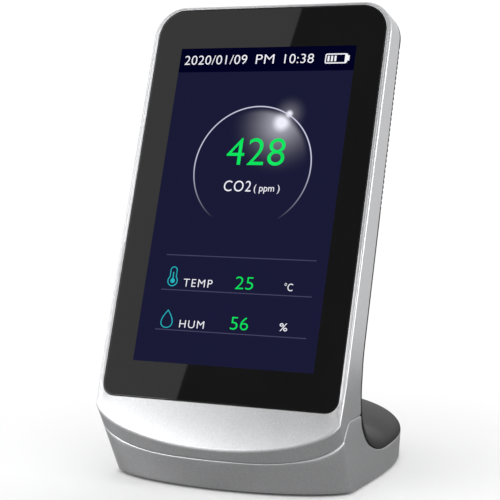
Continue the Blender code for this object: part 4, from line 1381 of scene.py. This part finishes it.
def add_studio():
    """White light tent. Reflections see it greyer below the horizon, where a real floor is darker."""
    world = bpy.data.worlds.new("light_tent")
    world.use_nodes = True
    tree = world.node_tree
    background = tree.nodes["Background"]
    direction = add(tree, "ShaderNodeTexCoord").outputs["Generated"]
    height = add(tree, "ShaderNodeSeparateXYZ", {"Vector": direction}).outputs["Z"]
    ray = add(tree, "ShaderNodeLightPath").outputs
    mirrored = ranged(tree, height, TENT_LOW[0], TENT_LOW[1], TENT_LEVELS[0], TENT_LEVELS[1])
    drop = math_of(tree, "SUBTRACT", mirrored, TENT_DIFFUSE)
    level = math_of(tree, "ADD", TENT_DIFFUSE, math_of(tree, "MULTIPLY", drop, ray["Is Glossy Ray"]))
    strength = math_of(tree, "MAXIMUM", level, ray["Is Camera Ray"])
    tree.links.new(strength, background.inputs["Strength"])
    background.inputs["Color"].default_value = (1.0, 1.0, 1.0, 1.0)
    bpy.context.scene.world = world


def mirrored_card(name, corners, radiance):
    """A flat card of even light. Each corner (x, s) of the front plane names the spot where the camera
    sees that corner mirrored: the eye is mirrored in the plane, and its ray goes on to the card."""
    eye = np.array(bpy.context.scene.camera.location)
    marks = [place(slab(np.array(x), np.array(s), MIRROR_N)) for x, s in corners]
    facing = -INTO
    mirrored = eye - 2 * np.dot(eye - marks[0], facing) * facing
    middle = sum(marks) / len(marks)
    ray = unit(middle - mirrored)
    reach = np.dot(middle - mirrored, ray) + CARD_DISTANCE
    spots = [mirrored + (mark - mirrored) * reach / np.dot(mark - mirrored, ray) for mark in marks]
    return light_card(name, spots, radiance)


def light_card(name, spots, radiance):
    """A card seen only in reflections."""
    material, tree, shader, where = new_material(name, Roughness=1.0)
    shader.inputs["Base Color"].default_value = (0, 0, 0, 1)
    shader.inputs["Emission Color"].default_value = (1, 1, 1, 1)
    shader.inputs["Emission Strength"].default_value = radiance
    card = mesh_piece(name, spots, [[0, 1, 2, 3]], material, smooth=False, outward=False)
    card.visible_camera = False
    card.visible_diffuse = False
    card.visible_shadow = False
    return card


def add_cards():
    """Cards and flags seen only in reflections: a grey flag that darkens the right of the glass, bright
    cards for the chin and the left, flags for the tail and the nose, and cards for the rim's edge, the
    lower corners and the top."""
    mirrored_card("grey_flag", FLAG_CORNERS, 0.14)
    mirrored_card("chin_card", CHIN_CORNERS, 5.6)
    mirrored_card("left_card", LEFT_CORNERS, 3.0)
    light_card("tail_flag", place([[-90, 150, -90], [170, 110, -90], [170, 110, 17], [-90, 150, 17]]),
               0.2)
    for name, (start, end, low, high, radiance) in UPRIGHT_CARDS.items():
        light_card(name, [(*start, low), (*end, low), (*end, high), (*start, high)], radiance)
    light_card("top_card", [(-0.6, 0.1, 0.75), (0.4, 0.1, 0.75), (0.4, 0.9, 0.75), (-0.6, 0.9, 0.75)],
               1.6)


add_camera()
add_floor()
add_studio()
add_cards()
bpy.context.scene.view_settings.view_transform = "Standard"
